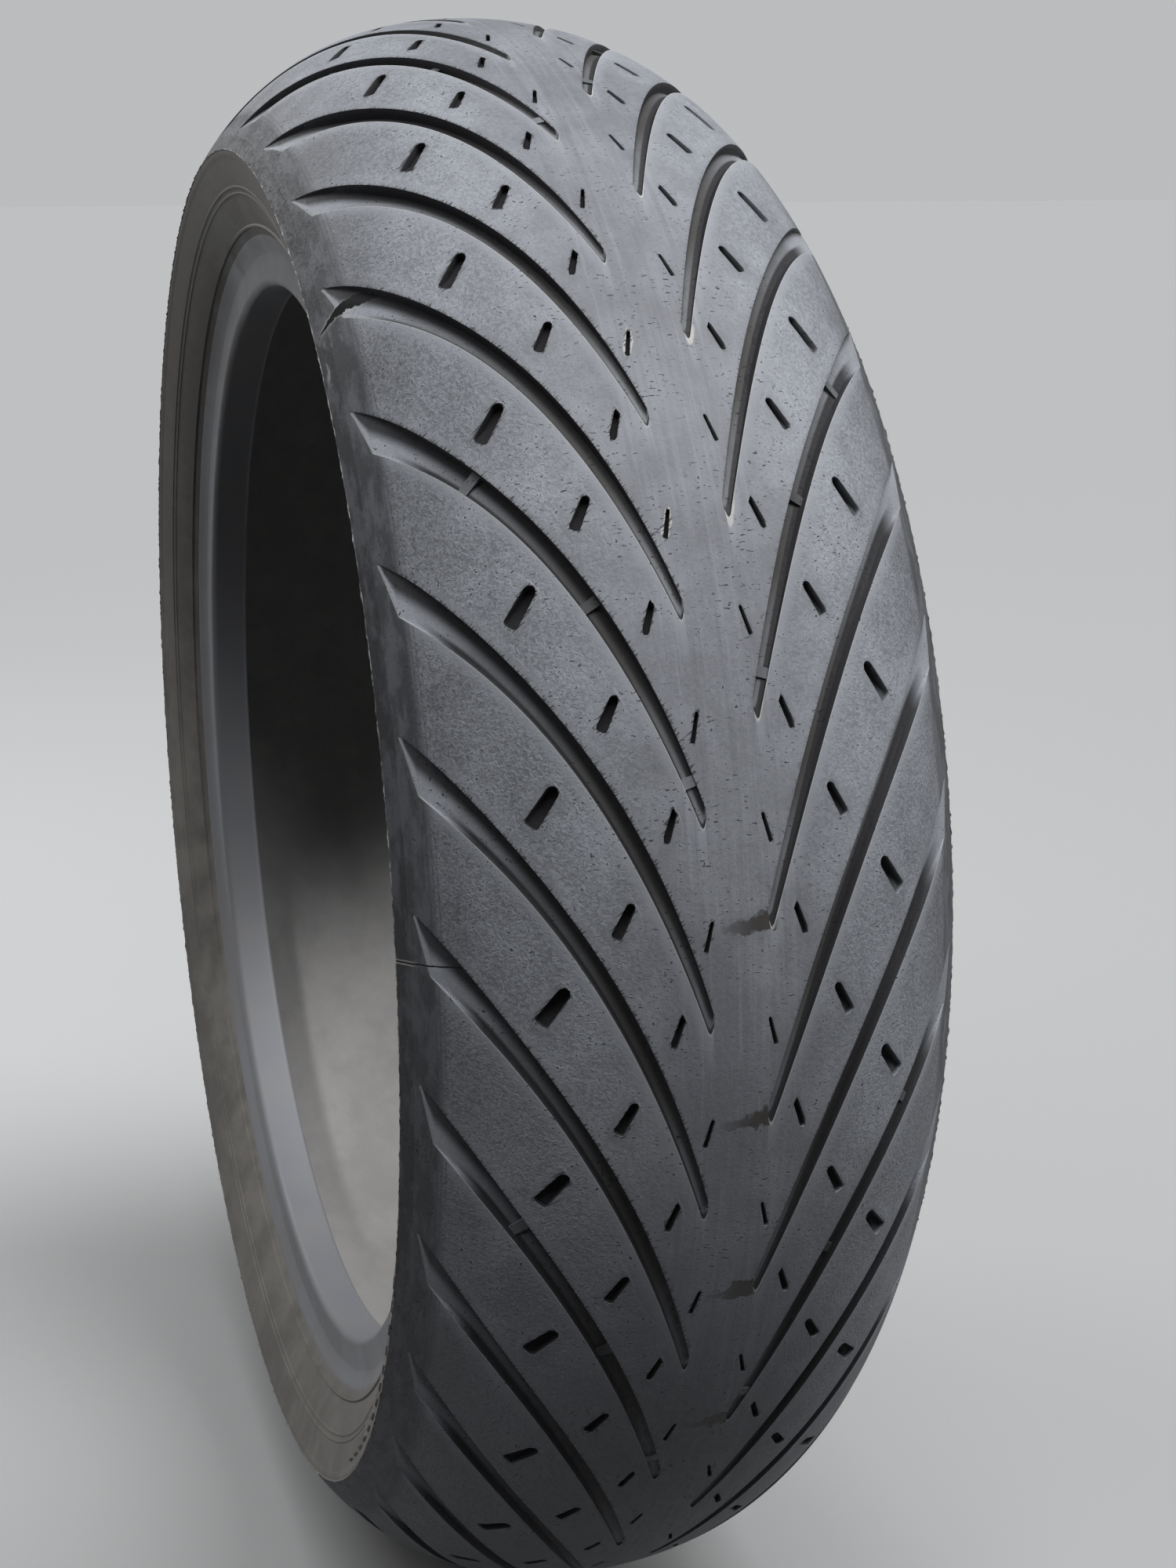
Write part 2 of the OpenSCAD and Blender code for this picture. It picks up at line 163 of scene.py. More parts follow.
# Sidewall: lean of the turned-up plies in radians, bow of the outer face, and how far the chafer's tip
# stands over the flange and out of the heel.
TURNUP_LEAN = np.radians(14.0)
WALL_BOW = 1.4
TIP_OVER_FLANGE = 7.0
TIP_OUT_OF_HEEL = 3.4
# Where the sidewall's face begins and the step over it, as (out, aside) from the tread's edge.
WALL_TOP = (-3.0, -1.2)
WALL_STEP = ((0.0, 0.0), (-0.5, -0.35), (-1.8, -0.4))
# Ridge of the chafer just under its tip, as (out, aside) from the tip.
CHAFER_RIDGE = ((-2.2, -1.05), (-0.6, -0.12))
# Relief of the sidewall, as shares of the way down it: plain blocks, two ribs, the fitting ring and the width
# of their flanks. Then their heights.
WALL_BLOCK = (0.065, 0.275)
WALL_RIBS = ((0.34, 0.38), (0.42, 0.46))
WALL_RING = (0.845, 0.9)
FLANK = 0.015
RIB_FLANK = 0.01
BLOCK_HEIGHT = 0.9
RIB_HEIGHT = 0.3
RING_HEIGHT = 0.8
# Plain blocks on a stretch of each sidewall: how many, how many degrees apart, the width of their ends, and
# the turns at which they begin on the left and on the right.
BLOCKS = 13
BLOCK_STEP = 2.6
BLOCK_END = 0.05
BLOCK_STARTS = (-52.0, 20.0)
# Flash at the tread's edge: mean, swing and most of its height, as shares of a height in millimetres, the
# slowest, fastest and number of the waves that make it ragged, and the seeds of the left and the right one.
FLASH_MEAN = 0.2
FLASH_SWING = 0.4
FLASH_MOST = 1.2
FLASH_HEIGHT = 0.45
FLASH_WAVES = (60, 700, 24)
FLASH_SEEDS = (3, 4)

# Marks of wear: turns are in degrees up from the front, runs in millimetres from the middle plane.
# Brown patches and chalk by the right tips, and a painted highlight on the rims of every right tip: the turn
# of one tip, the turns between which they lie, and the runs of the chalk and the painted highlight.
STAIN_TIP = 8.2
STAIN_TURNS = (-31.0, 13.5)
CHALK_TIP = 30.5
CHALK_TURNS = (25.5, 47.0)
TIP_RUNS = (7.5, 13.0)
# Mould lines of the smooth shoulder: runs between which they lie, and half their spacing.
LINE_RUNS = (92.6, 98.4)
LINE_HALF = 0.85
# Vent ring beside each groove: run, degrees over the pitch's start, and radius.
VENT_RUN = 90.3
VENT_LEAD = 28.35
VENT_RADIUS = 1.3
# Tear on the left shoulder: runs and inner turn of its ends, its drop outwards, bow and width.
TEAR_RUNS = (85.0, 112.4)
TEAR_TURN = 50.75
TEAR_DROP = -0.65
TEAR_BOW = 4.0
TEAR_WIDTH = 16.0
# Chafed patch beside the tear, and the turn of the crack below it.
CHAFED_TURNS = (46.3, 49.6)
CHAFED_ACROSS = (-110.5, -101.0)
CRACK_TURN = 6.1
# Millimetres round the tread for one degree at the tips, at the vents and at the shoulder.
TIP_DEGREE = 5.6
VENT_DEGREE = 5.08
SHOULDER_DEGREE = 4.9

# Lamps overhead: name, share of the key light, and the place that each shines from towards the axle.
OVERHEAD = (
    ("overhead_light", 0.46, (0.44, 0.1, 1.8)),
    ("overhead_right", 0.4, (0.4, 1.1, 1.5)),
    ("overhead_left", 0.14, (0.4, -1.1, 1.5)),
)
# Places of the softbox behind and of the spot lamp for the inside, and what each is turned to.
SOFTBOX = ((-1.1, -0.75, 0.9), (-0.1, 0.0, 0.1))
INSIDE_SPOT = ((0.6, -0.34, 0.283), (-0.21, 0.045, -0.21))
# Half the width of the floor in millimetres.
FLOOR_REACH = 30000.0
SIDES = ((-1, "left"), (1, "right"))


def setting(kind, name, description, default, **more):
    """One property of a settings group."""
    return kind(name=name, description=description, default=default, **more)


def amount(name, description, default, **more):
    """A number that isn't negative."""
    return setting(bpy.props.FloatProperty, name, description, default, min=0.0, **more)


def fraction(name, description, default):
    """A number from 0 to 1."""
    return amount(name, description, default, max=1.0, subtype="FACTOR")


def length(name, description, millimetres):
    """A length property, given in millimetres and kept in metres."""
    return amount(name, description, millimetres / MM, unit="LENGTH", subtype="DISTANCE", precision=4)


def colour(name, description, default):
    """A colour property without alpha."""
    return setting(bpy.props.FloatVectorProperty, name, description, default, subtype="COLOR", size=3,
                   min=0.0, max=1.0)


def position(name, description, default):
    """A place in the scene."""
    return setting(bpy.props.FloatVectorProperty, name, description, default, size=3, unit="LENGTH",
                   subtype="TRANSLATION")


def half_size(axis):
    """Half the size of the CAD box along an axis, in millimetres."""
    return (CAD_BOX[1][axis] - CAD_BOX[0][axis]) / 2 * MM


class TyreSize(bpy.types.PropertyGroup):
    """Driving sizes of the tyre's section."""
    outer_radius: length("Outer radius", "Axle to the top of the crown", half_size(2))
    half_width: length("Half width", "Middle plane to the widest point", half_size(1))
    crown_radius: length("Crown radius", "Radius of the crown's middle arc", 141)
    crown_half: length("Crown half width", "Half width of the middle arc", 31)
    shoulder_radius: length("Shoulder radius", "Radius of the shoulder arcs", 100.5)
    turn_radius: length("Turn radius", "Radius from which the sidewall layers turn in", 20)
    wing_run: length("Wing run", "Arc length of a wing strip", 6.31)
    cap_thickness: length("Cap thickness", "Thickness of the tread caps", 6)
    under_cap: length("Layers under the cap", "Base and belt together", 3.1)
    wing_depth: length("Wing depth", "Thickness of the wing strips", 7.5)
    ply: length("Ply thickness", "Thickness of one body ply", 1.1)
    liner: length("Liner thickness", "Thickness of the inner liner", 1.3)
    seat_radius: length("Bead seat radius", "Radius on which the beads sit", 218.3)
    heel_half: length("Heel half width", "Middle plane to the bead heel", 76.2)
    wrap_radius: length("Wrap radius", "Radius of the bead core with its wrap", 4.9)
    heel_rubber: length("Heel rubber", "Rubber outside the turned-up plies", 2.1)
    sole_rubber: length("Sole rubber", "Rubber under the turned-up plies", 2.4)
    flange: length("Flange height", "Height of the rim flange's face on the chafer", 13)


class TyreTread(bpy.types.PropertyGroup):
    """Driving sizes of the tread pattern."""
    pitches: setting(bpy.props.IntProperty, "Pitches", "Grooves on each side", 32, min=8, max=60)
    start: setting(bpy.props.FloatProperty, "Pattern start", "Turn of the first pitch on the left side",
                   float(np.radians(1.96)), unit="ROTATION", subtype="ANGLE")
    groove_depth: length("Groove depth", "Depth of a groove's floor", 4.2)
    tip_depth: length("Tip depth", "Depth at a groove's tip", 1.2)
    bar_height: length("Wear bar height", "Height of the wear bars over the floor", 1.3)
    sipe_long: length("Sipe length", "Length of the longest sipe", 14.5)
    sipe_wide: length("Sipe width", "Width of the longest sipe", 4.6)
    sipe_depth: length("Sipe depth", "Depth of the sipes", 3)
    border: length("Cap border", "Arc length from the middle plane to the side caps", 27)


class TyreColours(bpy.types.PropertyGroup):
    """Colours of the rubber and of what lies on it."""
    centre: colour("Centre rubber", "Worn middle of the tread", (0.26, 0.272, 0.302))
    side: colour("Side rubber", "Sides of the tread", (0.29, 0.305, 0.338))
    # The groove shade colour is painted shade on groove walls and in sipes; it is also the dark of the tear
    # and the crack.
    shade: colour("Groove shade", "Dirt in grooves and sipes", (0.022, 0.022, 0.025))
    nick: colour("Nicks", "Bare rubber in nicks and cracks", (0.045, 0.046, 0.05))
    # The chalk colour is also painted as highlights along lower groove edges and on the rims of the right
    # tips.
    chalk_and_highlight: colour("Chalk", "Pale dust round some cuts", (0.56, 0.56, 0.54))
    # On groove floors the stain colour is brown dirt together with painted shade that grows with depth.
    stain: colour("Stain", "Brown patches and dirt on groove floors", (0.04, 0.036, 0.03))
    wing: colour("Wing rubber", "Edge strips of the tread", (0.06, 0.062, 0.069))
    wall: colour("Sidewall rubber", "Sidewalls", (0.125, 0.118, 0.109))
    wall_dust: colour("Sidewall dust", "Dust on the sidewalls", (0.24, 0.228, 0.212))
    bead: colour("Bead rubber", "Chafers at the beads", (0.2, 0.208, 0.23))
    liner: colour("Liner rubber", "Inner liner", (0.28, 0.275, 0.272))
    steel: colour("Steel", "Belt cords and bead wires", (0.55, 0.5, 0.42))
    cord: colour("Cord", "Rubbered fabric of the plies", (0.12, 0.1, 0.08))


class TyreStage(bpy.types.PropertyGroup):
    """Floor, light and camera."""
    floor: colour("Floor", "Floor", (0.43, 0.435, 0.44))
    backdrop: colour("Backdrop", "What lies behind the floor", (0.5, 0.506, 0.512))
    floor_bounce: fraction("Floor bounce", "Share of the floor's light that the object gets", 0.01)
    key_level: amount("Key light", "Level of the light from overhead; 1 shows white as white", 1.38)
    key_spread: amount("Key spread", "Width of the overhead light in degrees", 42.0)
    side_power: amount("Side light", "Power of the side softbox in watts", 7.0)
    inside_power: amount("Inside light", "Power of the spot lamp on the inside in watts", 20.0)
    world_level: amount("World light", "Level of the light all round", 0.015)
    ceiling: fraction("Ceiling", "Share of the backdrop's light that is seen overhead", 0.3)
    camera: position("Camera", "Where the camera stands", (0.91254, -0.24053, 0.26690))
    target: position("Target", "What the camera looks at", (-0.00019, 0.05436, 0.00186))
    lens: amount("Lens", "Focal length in millimetres on a 36 mm sensor", 51.88)


def ray(angle):
    """Unit vector at an angle in radians."""
    return np.stack([np.cos(angle), np.sin(angle)], -1)


def arc(centre, radius, start, end, count):
    """Points of an arc, ends included."""
    return centre + radius * ray(np.linspace(start, end, count))


def crossed(first, second):
    """Cross product of rows of flat vectors."""
    return first[:, 0] * second[:, 1] - first[:, 1] * second[:, 0]


def ease(value):
    """Smooth step from 0 to 1."""
    value = np.clip(value, 0, 1)
    return value * value * (3 - 2 * value)


def plateau(value, ends, soft):
    """1 between two ends, 0 outside them, with straight flanks of a width inside the ends."""
    low, high = ends
    return np.clip(np.minimum(value - low, high - value) / soft, 0, 1)


def soft_least(terms, softness):
    """Least of several arrays, rounded over where two of them meet."""
    total = sum(np.exp(-np.clip(term, -5, 60) / softness) for term in terms)
    return -softness * np.log(total)


def full_turn(step):
    """Turns once round the axle, in degrees."""
    return np.arange(-180, 180, step)


def every_turn(outline, count):
    """The same outline for each of a number of turns."""
    return np.broadcast_to(outline, (count, *outline.shape))


class Section:
    """The tyre's section in millimetres: points are (distance from axle, distance from middle plane)."""

    def __init__(self, size):
        self.cap = size.cap_thickness * MM
        self.wing_depth = size.wing_depth * MM
        self.crown_radius = size.crown_radius * MM
        self.shoulder_radius = size.shoulder_radius * MM
        self.crown_centre = size.outer_radius * MM - self.crown_radius
        self.bend = np.arcsin(size.crown_half / size.crown_radius)
        self.crown_run = self.crown_radius * self.bend
        offset = self.crown_radius - self.shoulder_radius
        self.shoulder_centre = np.array([self.crown_centre, 0.0]) + offset * ray(self.bend)
        half_width = size.half_width * MM
        self.edge = np.arcsin((half_width - self.shoulder_centre[1]) / self.shoulder_radius)
        self.edge_run = self.crown_run + self.shoulder_radius * (self.edge - self.bend)
        self.wing_run = self.edge_run - size.wing_run * MM
        self.turn_radius = size.turn_radius * MM
        self.turn_centre = self.shoulder_centre + (self.shoulder_radius - self.turn_radius) * ray(self.edge)
        self.ply_top = (size.cap_thickness + size.under_cap) * MM
        self.liner_top = self.ply_top + 2 * size.ply * MM
        self.liner_end = self.liner_top + size.liner * MM
        self.wrap = size.wrap_radius * MM
        self.stack = self.wrap + 2 * size.ply * MM
        self.seat = size.seat_radius * MM
        self.heel = size.heel_half * MM
        self.flange = size.flange * MM
        self.bead_centre = np.array([self.seat + self.stack + size.sole_rubber * MM,
                                     self.heel - self.stack - size.heel_rubber * MM])
        down = self.bead_centre - self.turn_centre
        reach = np.hypot(*down)
        self.turn_end = (2 * np.pi + np.arctan2(down[1], down[0])
                         - np.arccos((self.turn_radius - self.ply_top + self.wrap) / reach))
        gap = (self.turn_end - np.pi / 2 - TURNUP_LEAN) / 2
        self.filler_tip = self.bead_centre + self.wrap / np.sin(gap) * ray(TURNUP_LEAN + gap)
        self.chafer_tip = np.array([self.seat + self.flange + TIP_OVER_FLANGE, self.heel + TIP_OUT_OF_HEEL])

    def crown(self, run, depth):
        """Point of the crown at an arc length from the middle plane, a depth under the surface."""
        run, depth = np.broadcast_arrays(np.asarray(run, float), np.asarray(depth, float))
        middle = run < self.crown_run
        angle = np.where(middle, run / self.crown_radius,
                         self.bend + (run - self.crown_run) / self.shoulder_radius)
        reach = np.where(middle, self.crown_radius, self.shoulder_radius) - depth
        out = np.where(middle, self.crown_centre, self.shoulder_centre[0]) + reach * np.cos(angle)
        aside = np.where(middle, 0.0, self.shoulder_centre[1]) + reach * np.sin(angle)
        return np.stack([out, aside], -1)

    def place(self, across, turn, depth):
        """Points in space: arc length across (left negative), turn round the axle in degrees, depth."""
        flat = self.crown(np.abs(across), depth)
        turn = np.radians(turn)
        aside = np.where(across < 0, -1.0, 1.0) * flat[..., 1]
        return np.stack([flat[..., 0] * np.cos(turn), aside, flat[..., 0] * np.sin(turn)], -1)

    def per_degree(self, run):
        """Millimetres round the tread for one degree of turn."""
        return np.radians(self.crown(run, 0.0)[..., 0])

    def layer(self, depth):
        """A layer at a depth, from the middle plane round the turn to the bead's toe."""
        radius = self.wrap + depth - self.ply_top
        crown = self.crown(np.linspace(0, self.edge_run, 42), depth)
        turn = arc(self.turn_centre, self.turn_radius - depth, self.edge, self.turn_end, 16)[1:]
        bead = arc(self.bead_centre, radius, self.turn_end + np.pi, 1.5 * np.pi, 10)
        return np.vstack([crown, turn, bead])

    def turnup(self, radius, run):
        """Point beside the turned-up plies: a distance from the bead's middle, and a run up the sidewall."""
        return self.bead_centre + radius * ray(TURNUP_LEAN + np.pi / 2) + run * ray(TURNUP_LEAN)


class Pattern:
    """The tread pattern: groove edges, depths and grid columns, in millimetres and degrees."""

    def __init__(self, section, tread):
        self.section = section
        self.pitches = tread.pitches
        self.pitch = 360.0 / tread.pitches
        self.start = np.degrees(tread.start)
        self.floor = tread.groove_depth * MM
        self.tip = tread.tip_depth * MM
        self.bar = tread.bar_height * MM
        self.sipe_long = tread.sipe_long * MM
        self.sipe_wide = tread.sipe_wide * MM
        self.sipe_depth = tread.sipe_depth * MM

    def base(self, side):
        """Turn of a side's first pitch: the right side is half a pitch on."""
        return self.start + (0 if side < 0 else self.pitch / 2)

    def band(self, run):
        """Lower and upper edge of a groove at a run: fitted curves, closed by the blunt tip and the facet."""
        upper = np.polyval(UPPER_EDGE, np.maximum(run, TIP_RUN))
        lower = np.polyval(LOWER_EDGE, run)
        lower = np.where(run > CORNER_RUN, CORNER_TURN + (run - CORNER_RUN) * FACET_SLOPE, lower)
        tip = TIP_TURN + TIP_RISE * np.clip((TIP_OUT - run) / (TIP_OUT - TIP_RUN), 0, 1) ** 3
        lower = np.where(run < TIP_OUT, tip, lower)
        return np.minimum(lower, upper - LEAST_BAND), upper

    def columns(self, run):
        """Turns of a pitch's columns at each run: even at the middle plane, then along the groove's edges."""
        lower, upper = self.band(run)
        groove = lower[:, None] + GROOVE_SHARES * (upper - lower)[:, None]
        land = upper[:, None] + LAND_SHARES * (lower + self.pitch - upper)[:, None]
        banded = np.hstack([groove, land])
        even = EVEN_START + self.pitch * np.arange(COLUMNS) / COLUMNS
        share = ease(run / TIP_RUN)[:, None]
        return even + share * (banded - even)

    def slant(self, edge, run):
        """Factor from millimetres round the tread to millimetres square to a fitted edge."""
        slope = np.polyval(np.polyder(edge), np.clip(run, TIP_RUN, CORNER_RUN)) * self.section.per_degree(run)
        return 1 / np.sqrt(1 + slope ** 2)

    def gaps(self, run, turn):
        """Millimetres over the lower edge, under the upper edge and under the next lower edge."""
        lower, upper = self.band(run)
        scale = self.section.per_degree(run)
        low = scale * self.slant(LOWER_EDGE, run)
        high = scale * self.slant(UPPER_EDGE, run)
        return (turn - lower) * low, (upper - turn) * high, (lower + self.pitch - turn) * low

    def bed(self, run, share):
        """Depth of a groove's floor at a run and a share of its width: deeper outwards and upwards."""
        depth = self.tip + (self.floor - self.tip) * ease((run - TIP_RUN) / BED_RUN)
        return depth * (BED_SHARE + (1 - BED_SHARE) * share)

    def depth(self, run, turn):
        """Depth of a groove: the least of its floor, walls, tip and run-out."""
        over, under, _ = self.gaps(run, turn)
        floor = self.bed(run, np.clip(over / np.maximum(over + under, 1e-6), 0, 1))
        facet = CORNER_RUN + (turn - CORNER_TURN) / FACET_SLOPE
        walls = (over * LOW_WALL, under * HIGH_WALL, (run - TIP_RUN) * TIP_WALL, RUN_OUT * (facet - run))
        depth = soft_least((floor, *walls), DEPTH_SOFTNESS)
        inside = (over > 0) & (under > 0)
        return np.where(inside, np.maximum(depth, 0), 0.0)

    def rim(self, run, turn):
        """Distance on the land to the nearest groove edge, and 1 where that is an upper edge."""
        _, under, ahead = self.gaps(run, turn)
        real = (run > TIP_RUN - 0.1) & (run < CUT_END)
        near = np.maximum(np.minimum(-under, ahead), 0)
        return np.where(real, near, FAR), (real & (-under < ahead)).astype(float)


class Skin:
    """Points of a tread shell, with what is known of each, and the faces between them."""

    def __init__(self):
        self.values = []
        self.faces = []
        self.count = 0

    def add(self, turn, *known):
        """Adds points and returns their numbers in the shape of the arrays; known goes by KNOWN."""
        arrays = np.broadcast_arrays(turn, *known)
        self.values.append(np.stack(arrays, -1).reshape(-1, len(arrays)))
        numbers = np.arange(arrays[0].size).reshape(arrays[0].shape) + self.count
        self.count += arrays[0].size
        return numbers

    def quads(self, a, b, c, d, keep=None):
        """Adds four-sided faces from arrays of point numbers."""
        quads = np.stack([a, b, c, d], -1)
        quads = quads[keep] if keep is not None else quads.reshape(-1, 4)
        self.faces.append(quads)

    def fans(self, a, b, c):
        """Adds three-sided faces from arrays of point numbers."""
        self.faces.append(np.stack(np.broadcast_arrays(a, b, c), -1).reshape(-1, 3))


def make_mesh(name, points, faces, attributes=(), sharp=38.0):
    """Object of a mesh from points in millimetres and a list of arrays of three- or four-sided faces."""
    loops = np.concatenate([part.ravel() for part in faces]).astype(np.int32)
    sizes = np.concatenate([np.full(len(part), part.shape[1]) for part in faces])
    starts = np.concatenate(([0], np.cumsum(sizes)[:-1])).astype(np.int32)
    if sum(sizes - 2) > MOST_TRIANGLES:
        raise RuntimeError(f"{name} has {sum(sizes - 2)} triangles, which is too many")
    mesh = bpy.data.meshes.new(name)
    mesh.vertices.add(len(points))
    mesh.vertices.foreach_set("co", (points / MM).astype(np.float32).ravel())
    mesh.loops.add(len(loops))
    mesh.loops.foreach_set("vertex_index", loops)
    mesh.polygons.add(len(sizes))
    mesh.polygons.foreach_set("loop_start", starts)
    mesh.update(calc_edges=True)
    if mesh.validate():
        raise RuntimeError(name + " has faces that Blender can't use")
    for label, values in attributes:
        layer = mesh.attributes.new(label, "FLOAT", "POINT")
        layer.data.foreach_set("value", np.ascontiguousarray(values, np.float32))
    mesh.polygons.foreach_set("use_smooth", np.ones(len(sizes), bool))
    mesh.set_sharp_from_angle(angle=np.radians(sharp))
    piece = bpy.data.objects.new(name, mesh)
    bpy.context.scene.collection.objects.link(piece)
    return piece


def settle(piece, material, node):
    """Gives a piece its material, slot and place in the frame."""
    piece.data.materials.append(material)
    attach(piece, "root")
    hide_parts(node)


def sipe_outline(long, wide):
    """Outline of a slot with round ends, a little narrower at its upper end, as a dense closed row of points.

    Points come as (aside, along): along the slot's length, upper end positive. The upper cap is a half
    circle, the lower one is flatter and squarer.
    """
    cap = np.linspace(0, np.pi, 60)
    upper = ray(cap) * wide / 2
    square = np.sign(np.cos(cap)) * np.abs(np.cos(cap)) ** SIPE_CAP
    lower = np.stack([square, SIPE_CAP * np.sin(cap) ** SIPE_SQUARE], -1) * wide / 2
    top = long / 2 - wide / 2
    bottom = SIPE_CAP / 2 * wide - long / 2
    straight = np.linspace(top, bottom, 80)[1:-1]
    flank = np.stack([np.full(len(straight), -wide / 2), straight], -1)
    outline = np.vstack([upper + (0, top), flank, -lower + (0, bottom), flank[::-1] * (-1, 1)])
    aside, along = outline.T
    return np.stack([aside * (1.0 - SIPE_TAPER * along / (long / 2)), along], -1)


def outline_shares(outline):
    """Angle of each point of a closed outline, and its share of the way round."""
    angles = np.unwrap(np.arctan2(outline[:, 1], outline[:, 0]))
    steps = np.hypot(*(np.roll(outline, -1, 0) - outline).T)
    return angles, np.concatenate(([0], np.cumsum(steps)[:-1])) / steps.sum()


def outline_points(outline, shares):
    """Points of a closed outline at shares of the way round it."""
    _, own = outline_shares(outline)
    return np.stack([np.interp(shares, own, part, period=1.0) for part in outline.T], -1)


def fitted_shares(outline, ring):
    """Shares of the way round an outline for the points of a ring outside it.

    Each is a blend of where the ray to the ring's point meets the outline and of even steps. The blend is
    the most even one at which no cell between the two is turned over.
    """
    angles = np.unwrap(np.arctan2(ring[:, 1], ring[:, 0]))
    way = np.sign(angles[-1] - angles[0])
    seen, own = outline_shares(outline)
    laps = np.arange(-2, 3)[:, None]
    rays = np.interp(angles, (seen + 2 * np.pi * laps).ravel(), (own + laps).ravel())
    even = way * np.arange(len(ring)) / len(ring)
    even = even + np.mean(rays - even)
    for share in (0.8, 0.65, 0.5, 0.35, 0.2):
        shares = rays + share * (even - rays)
        rim = outline_points(outline, shares)
        rim_after = np.roll(rim, -1, 0)
        out = ring - rim
        swing = rim_after - rim
        turned = (crossed(np.roll(ring, -1, 0) - rim, rim_after - ring), crossed(out, swing),
                  crossed(np.roll(out, -1, 0), swing))
        if np.all(way * np.stack(turned) > 0):
            return shares
    return rays


class Slot:
    """Place and size of one row of sipes: slot coordinates are (aside, along) in millimetres."""

    def __init__(self, pattern, sipe):
        self.middle, lead, long_share, self.wide_share, lean = sipe
        self.long = pattern.sipe_long * long_share
        self.wide = pattern.sipe_wide * self.wide_share
        self.depth = pattern.sipe_depth * (SIPE_THIN + (1 - SIPE_THIN) * self.wide_share)
        self.scale = pattern.section.per_degree(self.middle)
        self.cos, self.sin = ray(np.radians(lean))
        lower = pattern.band(np.array([self.middle]))[0][0]
        self.lead = lead + pattern.pitch * np.ceil((lower - lead) / pattern.pitch)

    def laid(self, flat):
        """Slot coordinates to (run, turn)."""
        run = self.middle - flat[..., 1] * self.sin + flat[..., 0] * self.cos
        turn = self.lead + (flat[..., 1] * self.cos + flat[..., 0] * self.sin) / self.scale
        return run, turn

    def seen(self, run, turn):
        """(run, turn) to slot coordinates."""
        out = run - self.middle
        up = (turn - self.lead) * self.scale
        return np.stack([out * self.cos + up * self.sin, up * self.cos - out * self.sin], -1)

    def block(self, pattern, runs, outline):
        """Rows and columns of the cells of a pitch that give way to the sipe, with some land round it."""
        run, turn = self.laid(outline)
        first = np.searchsorted(runs, run.min() - SIPE_MARGIN) - 1
        last = np.searchsorted(runs, run.max() + SIPE_MARGIN)
        near = pattern.columns(runs)[np.clip(np.searchsorted(runs, run), 1, len(runs) - 1)]
        below = np.clip((near <= turn[:, None]).sum(1) - 1, 0, COLUMNS - 2)[:, None]
        start = np.take_along_axis(near, below, 1)
        step = np.take_along_axis(near, below + 1, 1) - start
        spots = below + np.clip((turn[:, None] - start) / step, 0, 1)
        left = max(int(np.floor(spots.min() - 1.0)), len(GROOVE_SHARES) + 1)
        right = min(int(np.ceil(spots.max() + 1.0)), COLUMNS - 1)
        return np.arange(first, last + 1), np.arange(left, right + 1)


def block_border(rows, columns):
    """Rows and columns of the points round a block, in order."""
    wide = np.ones(len(columns) - 1, int)
    high = np.ones(len(rows) - 1, int)
    ring_row = np.concatenate([wide * rows[0], rows[:-1], wide * rows[-1], rows[:0:-1]])
    ring_column = np.concatenate([columns[:-1], high * columns[-1], columns[:0:-1], high * columns[0]])
    return ring_row, ring_column


def carve_sipe(skin, pattern, grid, runs, side, sipe, keep):
    """Lets one row of sipes into a grid: blocks of cells give way to rings that run in to the slots."""
    slot = Slot(pattern, sipe)
    outline = sipe_outline(slot.long, slot.wide)
    rows, columns = slot.block(pattern, runs, outline)
    ring_row, ring_column = block_border(rows, columns)
    ring = slot.seen(runs[ring_row], pattern.columns(runs)[ring_row, ring_column])
    angles = np.unwrap(np.arctan2(ring[:, 1], ring[:, 0]))
    steps = np.diff(np.append(angles, angles[0] + np.sign(angles[-1] - angles[0]) * 2 * np.pi))
    if not (np.all(steps > LEAST_STEP) or np.all(steps < -LEAST_STEP)):
        raise RuntimeError("a sipe's block of cells doesn't surround it")
    seen_angles, _ = outline_shares(outline)
    reach = np.interp(angles, seen_angles, np.hypot(*outline.T), period=2 * np.pi)
    if np.any(np.hypot(*ring.T) < reach + LEAST_LAND):
        raise RuntimeError("a sipe reaches out of its block of cells")
    shares = fitted_shares(outline, ring)
    rim = outline_points(outline, shares)
    number = np.arange(pattern.pitches)[:, None]
    shift = pattern.base(side) + number * pattern.pitch

    def add_ring(flat, depth, gap, dark):
        """One ring of points round every sipe of the row."""
        ring_run, ring_turn = slot.laid(flat)
        own, above = pattern.rim(ring_run, ring_turn)
        above = np.where(gap < own, BY_SIPE, above)
        near = np.minimum(gap, own)
        return skin.add(ring_turn + shift, side * ring_run, depth, near, ring_turn, above, dark)

    numbers = [grid[ring_row, ring_column + number * COLUMNS]]
    for share in SIPE_OUTER:
        out = (ring - rim) * share
        numbers.append(add_ring(rim + out, 0.0, np.hypot(*out.T), 0.0))
    numbers.append(add_ring(rim, SIPE_LIP, 0.0, 0.0))
    for inset, share, dark in SIPE_INNER:
        smaller = sipe_outline(slot.long - 2 * inset * slot.wide, slot.wide * (1 - 2 * inset))
        inner = outline_points(smaller, shares)
        rise = slot.wide_share * ease((-inner[:, 1] / (slot.long / 2) - RISE_START) / RISE_SPAN)
        depth = slot.depth * share * (1 - SIPE_RISE * rise)
        # Each inner ring carries the sipe's painted shade, paler at the lower end of a wide one as painted
        # light.
        numbers.append(add_ring(inner, depth, 0.0, dark * (1 - SIPE_PALER * rise)))
    hub = add_ring(np.zeros((1, 2)), slot.depth, 0.0, 1.0)

    way = -1 if (angles[1] > angles[0]) == (side > 0) else 1
    for outer, inner in zip(numbers[:-1], numbers[1:]):
        corners = (outer, np.roll(outer, -1, 1), np.roll(inner, -1, 1), inner)
        skin.quads(corners[0], *corners[1:][::way])
    last = numbers[-1]
    corners = (np.roll(last, -1, 1), np.broadcast_to(hub, last.shape))
    skin.fans(last, *corners[::way])
    keep[np.ix_(rows[:-1], (columns[:-1] + number * COLUMNS).ravel())] = False


